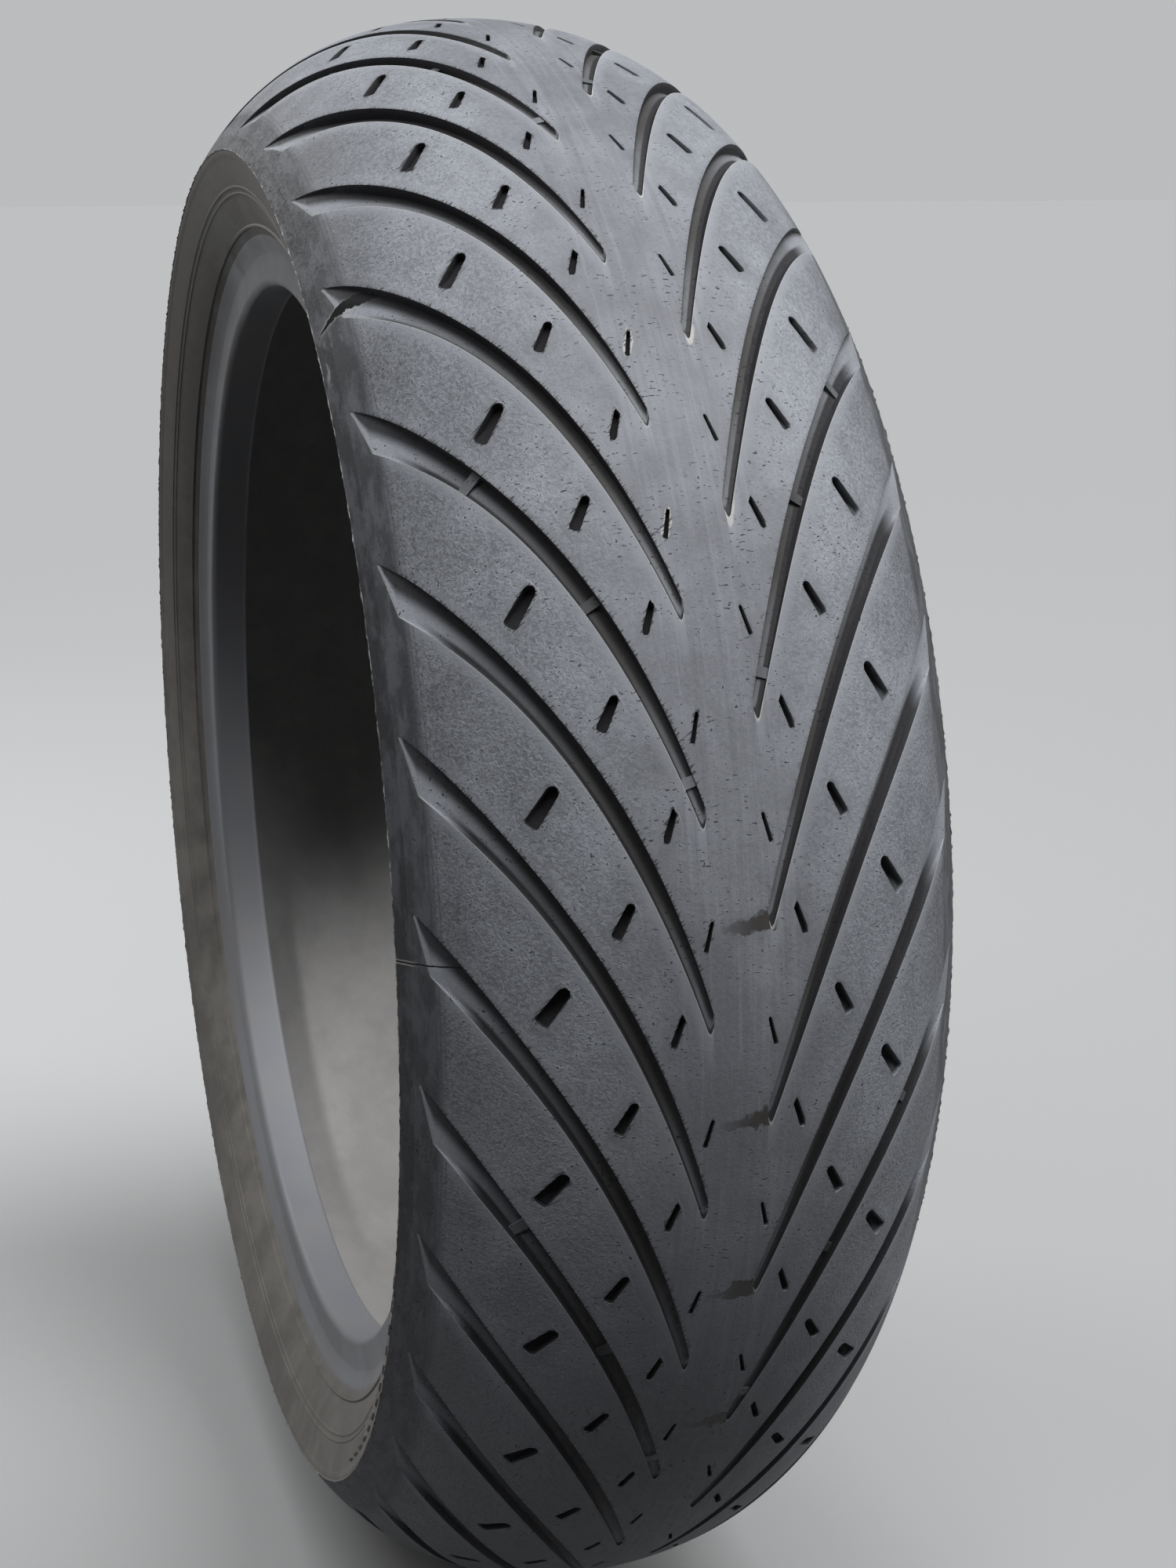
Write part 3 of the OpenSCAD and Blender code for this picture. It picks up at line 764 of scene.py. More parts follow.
def set_bars(skin, pattern, side, middle):
    """Sets blocks square across some grooves, which reach into both walls and the floor."""
    lower, upper = (edge[0] for edge in pattern.band(np.array([middle])))
    scale = pattern.section.per_degree(middle)
    slope = np.polyval(np.polyder(UPPER_EDGE), middle) * scale
    along = np.array([1.0, slope]) / np.hypot(1.0, slope)
    square = np.array([-along[1], along[0]])
    ends = np.array([(-1, -1), (1, -1), (1, 1), (-1, 1)]) * (BAR_LONG, BAR_WIDE)
    flat = ends[:, :1] * along + ends[:, 1:] * square
    run = middle + flat[:, 0]
    lead = (lower + upper) / 2 + flat[:, 1] / scale
    number = np.arange(BAR_FIRST, pattern.pitches, BAR_EVERY)[:, None]
    turn = lead + pattern.base(side) + number * pattern.pitch
    top = max(pattern.bed(middle, 0.5) - pattern.bar, BAR_LEAST_DEPTH)
    high = skin.add(turn, side * run, top, 0.0, lead, ON_BAR, 0.0)
    low = skin.add(turn, side * run, pattern.section.cap - BAR_FOOT, 0.0, lead, ON_BAR, 0.0)
    if side < 0:
        high = high[:, ::-1]
        low = low[:, ::-1]
    skin.faces.append(high)
    skin.faces.append(low[:, ::-1])
    skin.quads(low, np.roll(low, -1, 1), np.roll(high, -1, 1), high)


def carve_fitting(skin, pattern, grid, runs, side, keep):
    """Carves each row of sipes and sets each row of wear bars whose middle lies between these runs."""
    def fits(middle):
        """Whether a row with this middle lies in the cap."""
        return runs[0] + REACH < middle < runs[-1] - REACH

    for sipe in SIPES:
        if fits(sipe[0]):
            carve_sipe(skin, pattern, grid, runs, side, sipe, keep)
    for middle in BAR_RUNS:
        if fits(middle):
            set_bars(skin, pattern, side, middle)


def half_rows(pattern, runs, side):
    """Arrays of one side's rows: turn, then what is known of each point."""
    number = np.repeat(np.arange(pattern.pitches), COLUMNS)
    local = np.tile(pattern.columns(runs), (1, pattern.pitches))
    run = np.repeat(runs[:, None], local.shape[1], 1)
    land = np.tile(np.arange(COLUMNS) >= len(GROOVE_SHARES), pattern.pitches)[None, :]
    depth = np.where(land, 0.0, pattern.depth(run, local))
    rim, above = pattern.rim(run, local)
    cut_here = (run > TIP_RUN) & (run < CUT_END) & ~land
    rim = np.where(cut_here, 0.0, rim)
    shares = np.concatenate((GROOVE_SHARES, np.zeros(len(LAND_SHARES))))
    above = np.where(cut_here, np.tile(shares, pattern.pitches)[None, :], above)
    turn = local + pattern.base(side) + number * pattern.pitch
    return turn, side * run, depth, rim, local, above, np.zeros_like(run)


def close_shell(skin, outer, across_ends, cap, inner_rows=5):
    """Adds the shell's inner face and end walls under a grid whose rows run from the left to the right."""
    first, last = across_ends
    values = np.concatenate(skin.values)
    turn_first = values[outer[0], 0]
    turn_last = values[outer[-1], 0]
    share = np.linspace(0, 1, inner_rows)[:, None]
    turn = turn_first + (turn_last - turn_first) * share
    across = np.repeat(first + (last - first) * share, outer.shape[1], 1)
    inner = skin.add(turn, across, cap, FAR, 0.0, 0.0, 0.0)
    for top, bottom in ((outer[0], inner[0]), (inner[-1], outer[-1])):
        skin.quads(top, bottom, np.roll(bottom, -1), np.roll(top, -1))
    after = np.roll(inner, -1, 1)
    skin.quads(inner[:-1], inner[1:], after[1:], after[:-1])


def tread_piece(name, pattern, sides, runs):
    """One tread cap as a closed shell, on the left side, the right side or across both.

    The outer face is a grid of rows at set arc lengths across the crown and columns that follow the groove
    edges round it. Each point goes in by the depth of the groove it lies in. Sipes replace blocks of cells.
    The inner face is the same crown at the cap's thickness. Where both sides meet, the right side's columns
    are moved on by half a pitch and its first row, the middle plane, is left out.
    """
    skin = Skin()
    count = len(runs)
    half = COLUMNS // 2 if len(sides) > 1 else 0
    parts = []
    for side in sides:
        rows = half_rows(pattern, runs, side)
        if side < 0:
            parts.append([value[::-1] for value in rows])
        else:
            rows = [np.roll(value, half, 1) for value in rows]
            rows[0][:, :half] -= 360.0
            parts.append([value[len(parts):] for value in rows])
    rows = [np.vstack(values) for values in zip(*parts)]
    grid = skin.add(*rows)
    keep = np.ones((grid.shape[0] - 1, grid.shape[1]), bool)
    for side in sides:
        if side < 0:
            carve_fitting(skin, pattern, grid[:count][::-1], runs, side, keep[:count - 1][::-1])
        else:
            part_keep = np.roll(keep[1 - count:], -half, 1)
            carve_fitting(skin, pattern, np.roll(grid[-count:], -half, 1), runs, side, part_keep)
            keep[1 - count:] = np.roll(part_keep, half, 1)
    after = np.roll(grid, -1, 1)
    skin.quads(grid[:-1], after[:-1], after[1:], grid[1:], keep)
    close_shell(skin, grid, (rows[1][0, 0], rows[1][-1, 0]), pattern.section.cap)
    values = np.concatenate(skin.values)
    points = pattern.section.place(values[:, 1], values[:, 0], values[:, 2])
    used = np.unique(np.concatenate([part.ravel() for part in skin.faces]))
    renumber = np.full(len(values), -1)
    renumber[used] = np.arange(len(used))
    faces = [renumber[part] for part in skin.faces]
    attributes = [(label, values[used, column]) for column, label in enumerate(KNOWN, 1)]
    return make_mesh(name, points[used], faces, attributes)


def centre_runs(border_run):
    """Runs of the centre cap's rows on one side: closer at the tips and the border."""
    tip = (8.4, 9.0, 9.3, 9.7, 10.2, 10.9, 11.8)
    spread = (13, 14.3, 15.7, 17.2, 19.2, 21.2, 23.2, 25, 26.3, 26.8)
    return np.array([0, 2.5, 5, 7, *tip, *spread, border_run])


def side_runs(border_run, end):
    """Runs of a side cap's rows: closer at the border and the run-out."""
    spread = np.arange(29.6, 90.5, 1.9)
    close = (91.5, 92.8, 94, 95.3, 96.6, 97.7, 98.5, 99.3, 100.3, 101.3, 102.3, 103.2, 104.0, 104.7)
    start = (border_run, border_run + 0.25, border_run + 0.8, 28.6)
    return np.array([*start, *spread, *close, end - 0.6, end - 0.15, end])


def revolve(name, outlines, turns, attributes=(), sharp=32.0):
    """Closed ring round the axle from the section's outline at each turn, an array (turns, points, 2)."""
    turns = np.radians(turns)[:, None]
    out = outlines[..., 0]
    points = np.stack([out * np.cos(turns), outlines[..., 1], out * np.sin(turns)], -1)
    count, size = out.shape
    numbers = np.arange(count * size).reshape(count, size)
    after = np.roll(numbers, -1, 0)
    quads = np.stack([numbers, after, np.roll(after, -1, 1), np.roll(numbers, -1, 1)], -1).reshape(-1, 4)
    mean = outlines.mean(0)
    area = np.sum(crossed(mean, np.roll(mean, -1, 0)))
    if area > 0:
        quads = quads[:, ::-1]
    flat = [(label, np.broadcast_to(value, out.shape).ravel()) for label, value in attributes]
    return make_mesh(name, points.reshape(-1, 3), [quads], flat, sharp)


def mirrored(outlines, side):
    """Outlines of the right half, or the same outlines on the left."""
    return outlines * np.array([1.0, side])


def ripple(turns, seed, low, high, count):
    """Ragged closed curve round the axle: a sum of seeded waves, about one in size."""
    draw = np.random.default_rng(seed)
    waves = draw.integers(low, high, count)
    starts = draw.uniform(0, 2 * np.pi, count)
    angles = np.radians(turns)[:, None] * waves + starts
    return np.sin(angles).sum(1) / np.sqrt(count / 2)


def wing_outline(section, turns, seed):
    """Wing strip: the last stretch of the shoulder, with a thin ragged flash at the tread's edge.

    Returns the runs of its points, where the flash is, and the outline at each turn.
    """
    runs = np.concatenate((np.linspace(section.wing_run, section.edge_run - 1.0, 7),
                           section.edge_run - np.array([0.55, 0.25])))
    outer = section.crown(runs, 0.0)
    edge = section.crown(section.edge_run, 0.0)
    inner = section.crown(np.linspace(section.edge_run, section.wing_run, 7), section.wing_depth)
    ragged = np.clip(FLASH_MEAN + FLASH_SWING * ripple(turns, seed, *FLASH_WAVES), 0.0, FLASH_MOST)[:, None]
    lip = edge + ragged[:, None] * ray(section.edge) * FLASH_HEIGHT
    under = section.crown(section.edge_run, np.array([0.9, 2.6, 5.0]))
    count = len(turns)
    parts = (every_turn(outer, count), lip, every_turn(under, count), every_turn(inner, count))
    every_run = np.concatenate((runs, np.full(len(under) + 1 + len(inner), section.edge_run)))
    flash = np.zeros(len(every_run))
    flash[len(runs) - 1:len(runs) + 2] = ON_FLASH
    return every_run, flash, np.concatenate(parts, 1)


def wall_line(section, shares):
    """Outer face of the sidewall at shares of the way down to the chafer's tip, and its way out."""
    top = section.crown(section.edge_run, 0.0) + np.array(WALL_TOP)
    along = section.chafer_tip - top
    out = np.array([-along[1], along[0]]) / np.hypot(*along)
    out = out * np.sign(out[1])
    bow = WALL_BOW * np.sin(np.pi * shares)
    return top + along * shares[:, None] + out * bow[:, None], out


def wall_outline(section, first):
    """Sidewall: a bowed face with a step under the tread's edge, plain blocks, ribs and a fitting ring.

    The blocks lie on a stretch that begins at the turn first. Returns the turns and the outline at each.
    """
    starts = first + np.arange(BLOCKS) * BLOCK_STEP
    ends = starts + BLOCK_STEP / 2
    corners = [turn + gap for turn in (starts, ends) for gap in (-BLOCK_END, BLOCK_END)]
    turns = np.unique(np.concatenate((full_turn(1.0), *corners)).round(3))
    turns = turns[(turns >= -180) & (turns < 180)]
    shares = np.array([0, 0.03, 0.05, 0.065, 0.08, 0.17, 0.26, 0.275, 0.3, 0.34, 0.35, 0.37, 0.38, 0.42,
                       0.43, 0.45, 0.46, 0.52, 0.6, 0.68, 0.76, 0.82, 0.845, 0.86, 0.885, 0.9, 0.93, 1.0])
    line, out = wall_line(section, shares)
    on_block = (turns[:, None] > starts - BLOCK_END / 2) & (turns[:, None] < ends + BLOCK_END / 2)
    block = on_block.any(1)[:, None] * plateau(shares, WALL_BLOCK, FLANK)
    rib = sum(plateau(shares, bounds, RIB_FLANK) for bounds in WALL_RIBS)
    height = block * BLOCK_HEIGHT + RIB_HEIGHT * rib + RING_HEIGHT * plateau(shares, WALL_RING, FLANK)
    face = line + height[..., None] * out
    step = section.crown(section.edge_run, 0.0) + np.array(WALL_STEP)
    radius = section.turn_radius - section.ply_top
    back = np.vstack([section.turnup(section.stack, np.array([[10.0], [16.0]])),
                      section.turnup(section.wrap, 17.0), section.filler_tip,
                      arc(section.turn_centre, radius, section.turn_end, section.edge, 14),
                      section.crown(section.edge_run, np.array([7.5, 4.0]))])
    count = len(turns)
    return turns, np.concatenate((every_turn(step, count), face, every_turn(back, count)), 1)


def chafer_outline(section):
    """Chafer: rubber round the bead from its toe over the seat and heel to the tip on the sidewall."""
    centre = section.bead_centre
    toe = centre[1] - (section.wrap + section.liner_end - section.ply_top)
    seat = section.seat
    heel = section.heel
    nose_radius = 2.4
    heel_radius = 3.0
    front = np.array([[centre[0], toe], [seat + 4.0, toe]])
    nose = arc(np.array([seat + nose_radius, toe + nose_radius]), nose_radius, -np.pi / 2, -np.pi, 7)
    flat = np.stack([np.full(5, seat), np.linspace(toe + 3.2, heel - 3.8, 5)], -1)
    corner = arc(np.array([seat + heel_radius, heel - heel_radius]), heel_radius, np.pi, np.pi / 2, 8)
    side = np.array([[seat + section.flange - 0.6, heel], [seat + section.flange + 0.6, heel + 0.25]])
    ridge = section.chafer_tip + np.array(CHAFER_RIDGE)
    under = section.turnup(section.stack, np.array([[10.0], [0.0]]))
    round_bead = arc(centre, section.stack, TURNUP_LEAN + np.pi / 2, 1.5 * np.pi, 18)[1:]
    return np.vstack([front, nose, flat, corner, side, ridge, section.chafer_tip, under, round_bead])


def liner_outline(section):
    """Inner liner: the whole inside, from one bead's toe over the crown to the other's."""
    outer = section.layer(section.liner_top)
    inner = section.layer(section.liner_end)
    return np.vstack([mirrored(outer, -1)[::-1], outer[1:], inner[::-1], mirrored(inner, -1)[1:]])


def with_alpha(value):
    """Colour of three numbers as four."""
    return (*value, 1.0)


def scaled(value, factor):
    """A colour made darker or lighter, with alpha."""
    return with_alpha([min(1.0, part * factor) for part in value])


class Nodes:
    """Adds nodes to a shader tree. Most methods return the output socket of what they add."""

    def __init__(self, tree):
        self.tree = tree

    def add(self, kind, **values):
        """A node with some of its settings."""
        node = self.tree.nodes.new(kind)
        for label, value in values.items():
            setattr(node, label, value)
        return node

    def put(self, socket, value):
        """Links a socket to another, or sets it to a number or colour."""
        if isinstance(value, bpy.types.NodeSocket):
            self.tree.links.new(value, socket)
        else:
            socket.default_value = value

    def fill(self, node, values):
        """Fills a node's first inputs and returns its first output."""
        for socket, value in zip(node.inputs, values):
            self.put(socket, value)
        return node.outputs[0]

    def math(self, operation, *values):
        """Result of a Math node."""
        return self.fill(self.add("ShaderNodeMath", operation=operation), values)

    def times(self, *values):
        """Product of sockets or numbers."""
        total = values[0]
        for value in values[1:]:
            total = self.math("MULTIPLY", total, value)
        return total

    def plus(self, first, second):
        """Sum of two sockets or numbers."""
        return self.math("ADD", first, second)

    def minus(self, first, second):
        """Difference of two sockets or numbers."""
        return self.math("SUBTRACT", first, second)

    def line(self, value, slope, start):
        """A value times a slope, plus a start."""
        return self.math("MULTIPLY_ADD", value, slope, start)

    def size(self, value):
        """A value without its sign."""
        return self.math("ABSOLUTE", value)

    def most(self, first, second):
        """The larger of two sockets or numbers."""
        return self.math("MAXIMUM", first, second)

    def span(self, value, low, high, bottom=0.0, top=1.0):
        """A value mapped from between two bounds to between two others, smooth at both ends."""
        node = self.add("ShaderNodeMapRange", interpolation_type="SMOOTHSTEP")
        return self.fill(node, (value, low, high, bottom, top))

    def ramp(self, value, low, high):
        """A value mapped from between two bounds to 0 to 1, straight and clamped."""
        return self.fill(self.add("ShaderNodeMapRange"), (value, low, high, 0.0, 1.0))

    def window(self, value, bounds, soft):
        """1 between two bounds, 0 outside them, with soft ends."""
        low, high = bounds
        rise = self.span(value, low - soft, low + soft)
        return self.times(rise, self.span(value, high - soft, high + soft, 1.0, 0.0))

    def noise(self, vector, scale, detail=2.0, rough=0.5, warp=0.0):
        """Noise from about 0 to 1."""
        node = self.add("ShaderNodeTexNoise")
        for label, value in (("Vector", vector), ("Scale", scale), ("Detail", detail), ("Roughness", rough),
                             ("Distortion", warp)):
            self.put(node.inputs[label], value)
        return node.outputs[0]

    def mix(self, share, first, second):
        """Blend of two colours."""
        node = self.add("ShaderNodeMix", data_type="RGBA")
        for label, value in (("Factor", share), ("A", first), ("B", second)):
            fitting = [socket for socket in node.inputs if socket.name == label and socket.enabled]
            self.put(fitting[0], value)
        return [socket for socket in node.outputs if socket.enabled][0]

    def shaded(self, tone, factor):
        """A colour times a factor."""
        node = self.add("ShaderNodeVectorMath", operation="SCALE")
        self.put(node.inputs[0], tone)
        self.put(node.inputs["Scale"], factor)
        return node.outputs[0]

    def known(self, label):
        """A mesh's attribute."""
        return self.add("ShaderNodeAttribute", attribute_name=label).outputs["Fac"]

    def object_place(self):
        """Object coordinates."""
        return self.add("ShaderNodeTexCoord").outputs["Object"]

    def stretched(self, vector, scale):
        """A vector times a scale along each axis."""
        node = self.add("ShaderNodeMapping")
        self.put(node.inputs["Vector"], vector)
        node.inputs["Scale"].default_value = scale
        return node.outputs[0]

    def bump(self, shader, height, strength):
        """Feeds a height in half millimetres to the shader's normal."""
        node = self.add("ShaderNodeBump")
        node.inputs["Distance"].default_value = 0.5 / MM
        node.inputs["Strength"].default_value = strength
        self.put(node.inputs["Height"], height)
        self.put(shader.inputs["Normal"], node.outputs["Normal"])

    def grain(self, vector, size, pebble):
        """The rubber grain's outputs: its ridges per metre and how far they stand out."""
        node = self.add("ShaderNodeGroup", node_tree=grain_group())
        self.put(node.inputs["Vector"], vector)
        node.inputs["Grain"].default_value = size
        node.inputs["Pebble"].default_value = pebble
        return node.outputs


def grain_group():
    """Node group of rubber grain: height and mottling of ridges, patchy dust and small dark nicks."""
    name = "rubber_grain"
    if name in bpy.data.node_groups:
        return bpy.data.node_groups[name]
    tree = bpy.data.node_groups.new(name, "ShaderNodeTree")
    tree.interface.new_socket("Vector", in_out="INPUT", socket_type="NodeSocketVector")
    for label in ("Grain", "Pebble"):
        tree.interface.new_socket(label, in_out="INPUT", socket_type="NodeSocketFloat")
    for label in ("Height", "Mottle", "Dust", "Nicks"):
        tree.interface.new_socket(label, in_out="OUTPUT", socket_type="NodeSocketFloat")
    nodes = Nodes(tree)
    entry = nodes.add("NodeGroupInput").outputs
    leave = nodes.add("NodeGroupOutput").inputs
    span, noise = nodes.span, nodes.noise
    vector, grain, pebble = entry["Vector"], entry["Grain"], entry["Pebble"]
    ridges = noise(vector, grain, 2.0, 0.55, 0.7)
    fine = noise(vector, nodes.times(grain, 2.1), 2.0, 0.6)
    nodes.put(leave["Height"], nodes.line(ridges, pebble, nodes.times(fine, 0.35)))
    speckle = nodes.line(ridges, 0.65, nodes.times(fine, 0.35))
    nodes.put(leave["Mottle"], span(speckle, 0.38, 0.62))
    broad = noise(vector, 14.0, 3.0, 0.6)
    patch = noise(vector, 60.0, 4.0, 0.6)
    dust = nodes.line(broad, 0.55, nodes.times(patch, 0.45))
    nodes.put(leave["Dust"], span(dust, 0.38, 0.64))
    dashes = noise(nodes.stretched(vector, (1500.0, 400.0, 1500.0)), 1.0, 1.0)
    specks = noise(vector, 700.0, 1.0)
    nicks = nodes.most(span(dashes, 0.685, 0.72), span(specks, 0.72, 0.76))
    nodes.put(leave["Nicks"], nodes.times(nicks, span(patch, 0.42, 0.56)))
    return tree


def new_material(name):
    """Material with one Principled shader."""
    material = bpy.data.materials.new(name)
    material.use_nodes = True
    return material, material.node_tree.nodes["Principled BSDF"]


class TreadNodes(Nodes):
    """Nodes of a tread material, with what is known of each point of the tread as sockets."""

    def __init__(self, tree, colours, pitch):
        super().__init__(tree)
        self.colours = colours
        self.pitch = pitch
        self.vector = self.object_place()
        split = self.add("ShaderNodeSeparateXYZ")
        self.put(split.inputs[0], self.vector)
        self.x = split.outputs["X"]
        self.z = split.outputs["Z"]
        known = [self.known(label) for label in KNOWN]
        self.across, self.cut, self.rim, self.lead, self.above, self.slot = known
        self.run = self.size(self.across)
        self.turn = self.times(self.math("ARCTAN2", self.z, self.x), np.degrees(1.0))
        self.land = self.math("LESS_THAN", self.cut, 0.04)
        self.below = self.times(self.math("LESS_THAN", self.above, 0.5), self.land)
        self.right = self.math("GREATER_THAN", self.across, 0.0)
        self.deep = self.span(self.cut, 0.2, 2.5)
        self.rubber = self.grain(self.vector, 700.0, 0.9)
        outwards = self.span(self.run, 8.0, 62.0, 0.35, 1.0)
        self.grainy = self.times(outwards, self.span(self.rim, 0.3, 5.0, 0.4, 1.0))

    def painted(self, share, tone, name, factor=1.0):
        """A tone with some of one of the tyre's colours over it."""
        return self.mix(share, tone, scaled(getattr(self.colours, name), factor))

    def from_tip(self, tip):
        """Millimetres up from the nearest tip, one of which lies at a given turn."""
        half = self.pitch / 2
        local = self.minus(self.math("WRAP", self.turn, tip + half, tip - half), tip)
        return self.times(local, TIP_DEGREE)


def land_tone(nodes, inner, outer):
    """Mottled dusty rubber, from the inner to the outer colour across the crown, grainier outwards.

    It is darker and fresher by the shoulder, paler by lower edges (dust and a painted highlight) and on
    facets, and nicked all over.
    """
    span, times = nodes.span, nodes.times
    run, rim = nodes.run, nodes.rim
    share = nodes.line(nodes.rubber["Dust"], 0.4, times(nodes.rubber["Mottle"], nodes.grainy, 0.5))
    tint = nodes.mix(span(run, 15.0, 45.0), with_alpha(inner), with_alpha(outer))
    fresh = nodes.line(span(run, 72.0, 92.0), -0.24, times(span(run, 45.0, 75.0), span(rim, 1.0, 7.0), -0.14))
    facet = times(span(nodes.cut, 0.02, 0.1), span(run, 70.0, 88.0, 0.0, 0.45))
    tone = nodes.shaded(tint, nodes.line(share, 0.8, nodes.plus(nodes.plus(fresh, facet), 0.7)))
    # Land by lower edges is painted paler: dust and a painted highlight together.
    halo = times(nodes.below, span(rim, 0.4, 5.0, 0.5, 0.0))
    tone = nodes.mix(halo, tone, nodes.shaded(tint, 1.45))
    return nodes.painted(times(nodes.rubber["Nicks"], 0.85), tone, "nick")


def centre_marks(nodes, tone):
    """Streaks along the middle, brown patches by the lower right tips, chalk round the right tips at some
    turns and a painted highlight on the rims of every right tip.

    Returns the tone, the holes and the smooth places.
    """
    span, times, window = nodes.span, nodes.times, nodes.window
    across, run, turn, rim = nodes.across, nodes.run, nodes.turn, nodes.rim
    streak = nodes.noise(nodes.stretched(nodes.vector, (16.0, 520.0, 16.0)), 1.0, 3.0, 0.65)
    middle = span(run, 14.0, 26.0, 1.0, 0.0)
    tone = nodes.painted(times(span(streak, 0.5, 0.68, 0.0, 0.3), middle), tone, "centre", 0.58)
    tone = nodes.painted(times(span(streak, 0.36, 0.46, 0.2, 0.0), middle), tone, "centre", 1.5)
    ragged = nodes.line(nodes.noise(nodes.vector, 170.0, 4.0, 0.6), 9.0, -4.5)
    aside = nodes.size(nodes.line(across, -0.12, nodes.from_tip(STAIN_TIP)))
    wide = nodes.minus(span(across, -6.0, 8.0, 1.0, 3.3), nodes.plus(aside, ragged))
    stain = times(span(wide, -0.5, 0.6), window(nodes.line(ragged, 0.7, across), (-7.0, 11.0), 1.5),
                  window(turn, STAIN_TURNS, 0.4), span(across, -9.0, 6.0, 0.2, 0.9), nodes.land)
    tone = nodes.painted(stain, tone, "stain")
    near = nodes.size(nodes.from_tip(CHALK_TIP))
    by_tip = times(span(near, 4.5, 6.5, 1.0, 0.0), window(run, TIP_RUNS, 0.8), nodes.land)
    broad = times(window(turn, CHALK_TURNS, 0.3), span(nodes.line(ragged, 0.3, rim), 0.8, 1.3, 0.8, 0.0))
    # Painted highlight on the rims of the right tips.
    painted_glint = times(span(across, 0.0, 1.0), span(rim, 0.15, 0.5, 0.7, 0.0))
    tone = nodes.painted(times(by_tip, nodes.most(broad, painted_glint)), tone, "chalk_and_highlight")
    return tone, nodes.rubber["Nicks"], stain


def shoulder_marks(nodes, tone):
    """Smooth scuffed shoulder with mould lines, vent rings by the grooves, a tear and a crack on the left.

    Returns the tone, the holes and the smooth places.
    """
    span, times, window = nodes.span, nodes.times, nodes.window
    across, run, turn, land, vector = nodes.across, nodes.run, nodes.turn, nodes.land, nodes.vector
    scuff = nodes.noise(nodes.stretched(vector, (60.0, 260.0, 60.0)), 1.0, 4.0, 0.65)
    outer = times(span(run, 92.0, 98.0), land)
    scuffed = nodes.painted(span(scuff, 0.42, 0.62), scaled(nodes.colours.wing, 0.6), "wing", 1.9)
    tone = nodes.mix(times(outer, 0.85), tone, scuffed)
    lines = span(nodes.size(nodes.math("WRAP", run, LINE_HALF, -LINE_HALF)), 0.05, 0.3, 1.0, 0.0)
    lines = times(lines, window(run, LINE_RUNS, 0.3), land, span(scuff, 0.4, 0.55))
    tone = nodes.painted(times(lines, 0.5), tone, "nick")
    up = nodes.line(nodes.lead, VENT_DEGREE, -VENT_LEAD * VENT_DEGREE)
    out = nodes.minus(run, VENT_RUN)
    reach = nodes.math("SQRT", nodes.line(up, up, times(out, out)))
    vent = span(nodes.size(nodes.minus(reach, VENT_RADIUS)), 0.1, 0.4, 1.0, 0.0)
    tone = nodes.painted(times(vent, 0.3), tone, "nick")

    wander = nodes.line(nodes.noise(vector, 200.0, 4.0, 0.75), 2.6, -1.3)
    along = nodes.ramp(times(across, -1.0), *TEAR_RUNS)
    hump = times(along, nodes.minus(1.0, along))
    middle = nodes.line(hump, TEAR_BOW, nodes.line(along, TEAR_DROP, TEAR_TURN))
    off = nodes.size(nodes.line(nodes.minus(turn, middle), SHOULDER_DEGREE, wander))
    half = times(hump, nodes.minus(1.05, along), TEAR_WIDTH)
    jagged = nodes.ramp(nodes.noise(vector, 500.0, 3.0, 0.7), 0.25, 0.75)
    inside = nodes.minus(times(half, nodes.plus(jagged, 0.5)), off)
    lip = times(window(inside, (-0.8, -0.1), 0.2), span(hump, 0.05, 0.15))
    tone = nodes.painted(times(lip, 0.3), tone, "chalk_and_highlight")
    chafed = times(window(turn, CHAFED_TURNS, 0.5), window(across, CHAFED_ACROSS, 1.0),
                   span(scuff, 0.46, 0.6))
    tone = nodes.painted(times(chafed, 0.45), tone, "chalk_and_highlight")
    cracked = nodes.size(nodes.line(nodes.minus(turn, CRACK_TURN), SHOULDER_DEGREE, times(wander, 0.4)))
    crack = times(span(cracked, 0.12, 0.3, 1.0, 0.0), nodes.math("GREATER_THAN", hump, 0.001))
    pale = times(window(cracked, (0.3, 0.8), 0.15), span(along, 0.62, 0.8))
    tone = nodes.painted(times(pale, 0.6), tone, "chalk_and_highlight")
    torn = nodes.most(span(inside, -0.1, 0.2), crack)
    return nodes.painted(torn, tone, "shade", 0.1), nodes.most(torn, nodes.rubber["Nicks"]), outer


def edge_tone(nodes, tone, holes):
    """A painted highlight line along lower edges, hair-like fray across upper edges, weaker on the right, and
    pale flash.
    """
    span, times = nodes.span, nodes.times
    rim, above = nodes.rim, nodes.above
    # Painted highlight: a thin pale line along each lower edge, except in holes.
    pale = times(nodes.below, span(rim, 0.08, 0.4, 0.5, 0.0), nodes.minus(1.0, holes))
    tone = nodes.painted(pale, tone, "chalk_and_highlight")
    bristle = nodes.add("ShaderNodeCombineXYZ")
    hairs = nodes.fill(bristle, (nodes.line(nodes.run, 1.2, times(nodes.lead, 10.0)),
                                 nodes.line(nodes.x, 40.0, times(rim, 0.2)), times(nodes.z, 40.0)))
    hair = nodes.line(nodes.noise(hairs, 1.0, 1.0), 6.0, -2.8)
    fray = times(nodes.window(above, (0.5, 1.5), 0.05), nodes.land, nodes.line(nodes.right, -0.6, 1.0),
                 span(nodes.minus(hair, rim), -0.05, 0.25, 0.0, 0.85))
    tone = nodes.painted(fray, tone, "nick")
    flash = times(span(above, 1.3, 1.8), span(nodes.noise(nodes.vector, 260.0, 3.0, 0.7), 0.44, 0.6))
    return nodes.painted(times(flash, 0.55), tone, "chalk_and_highlight")


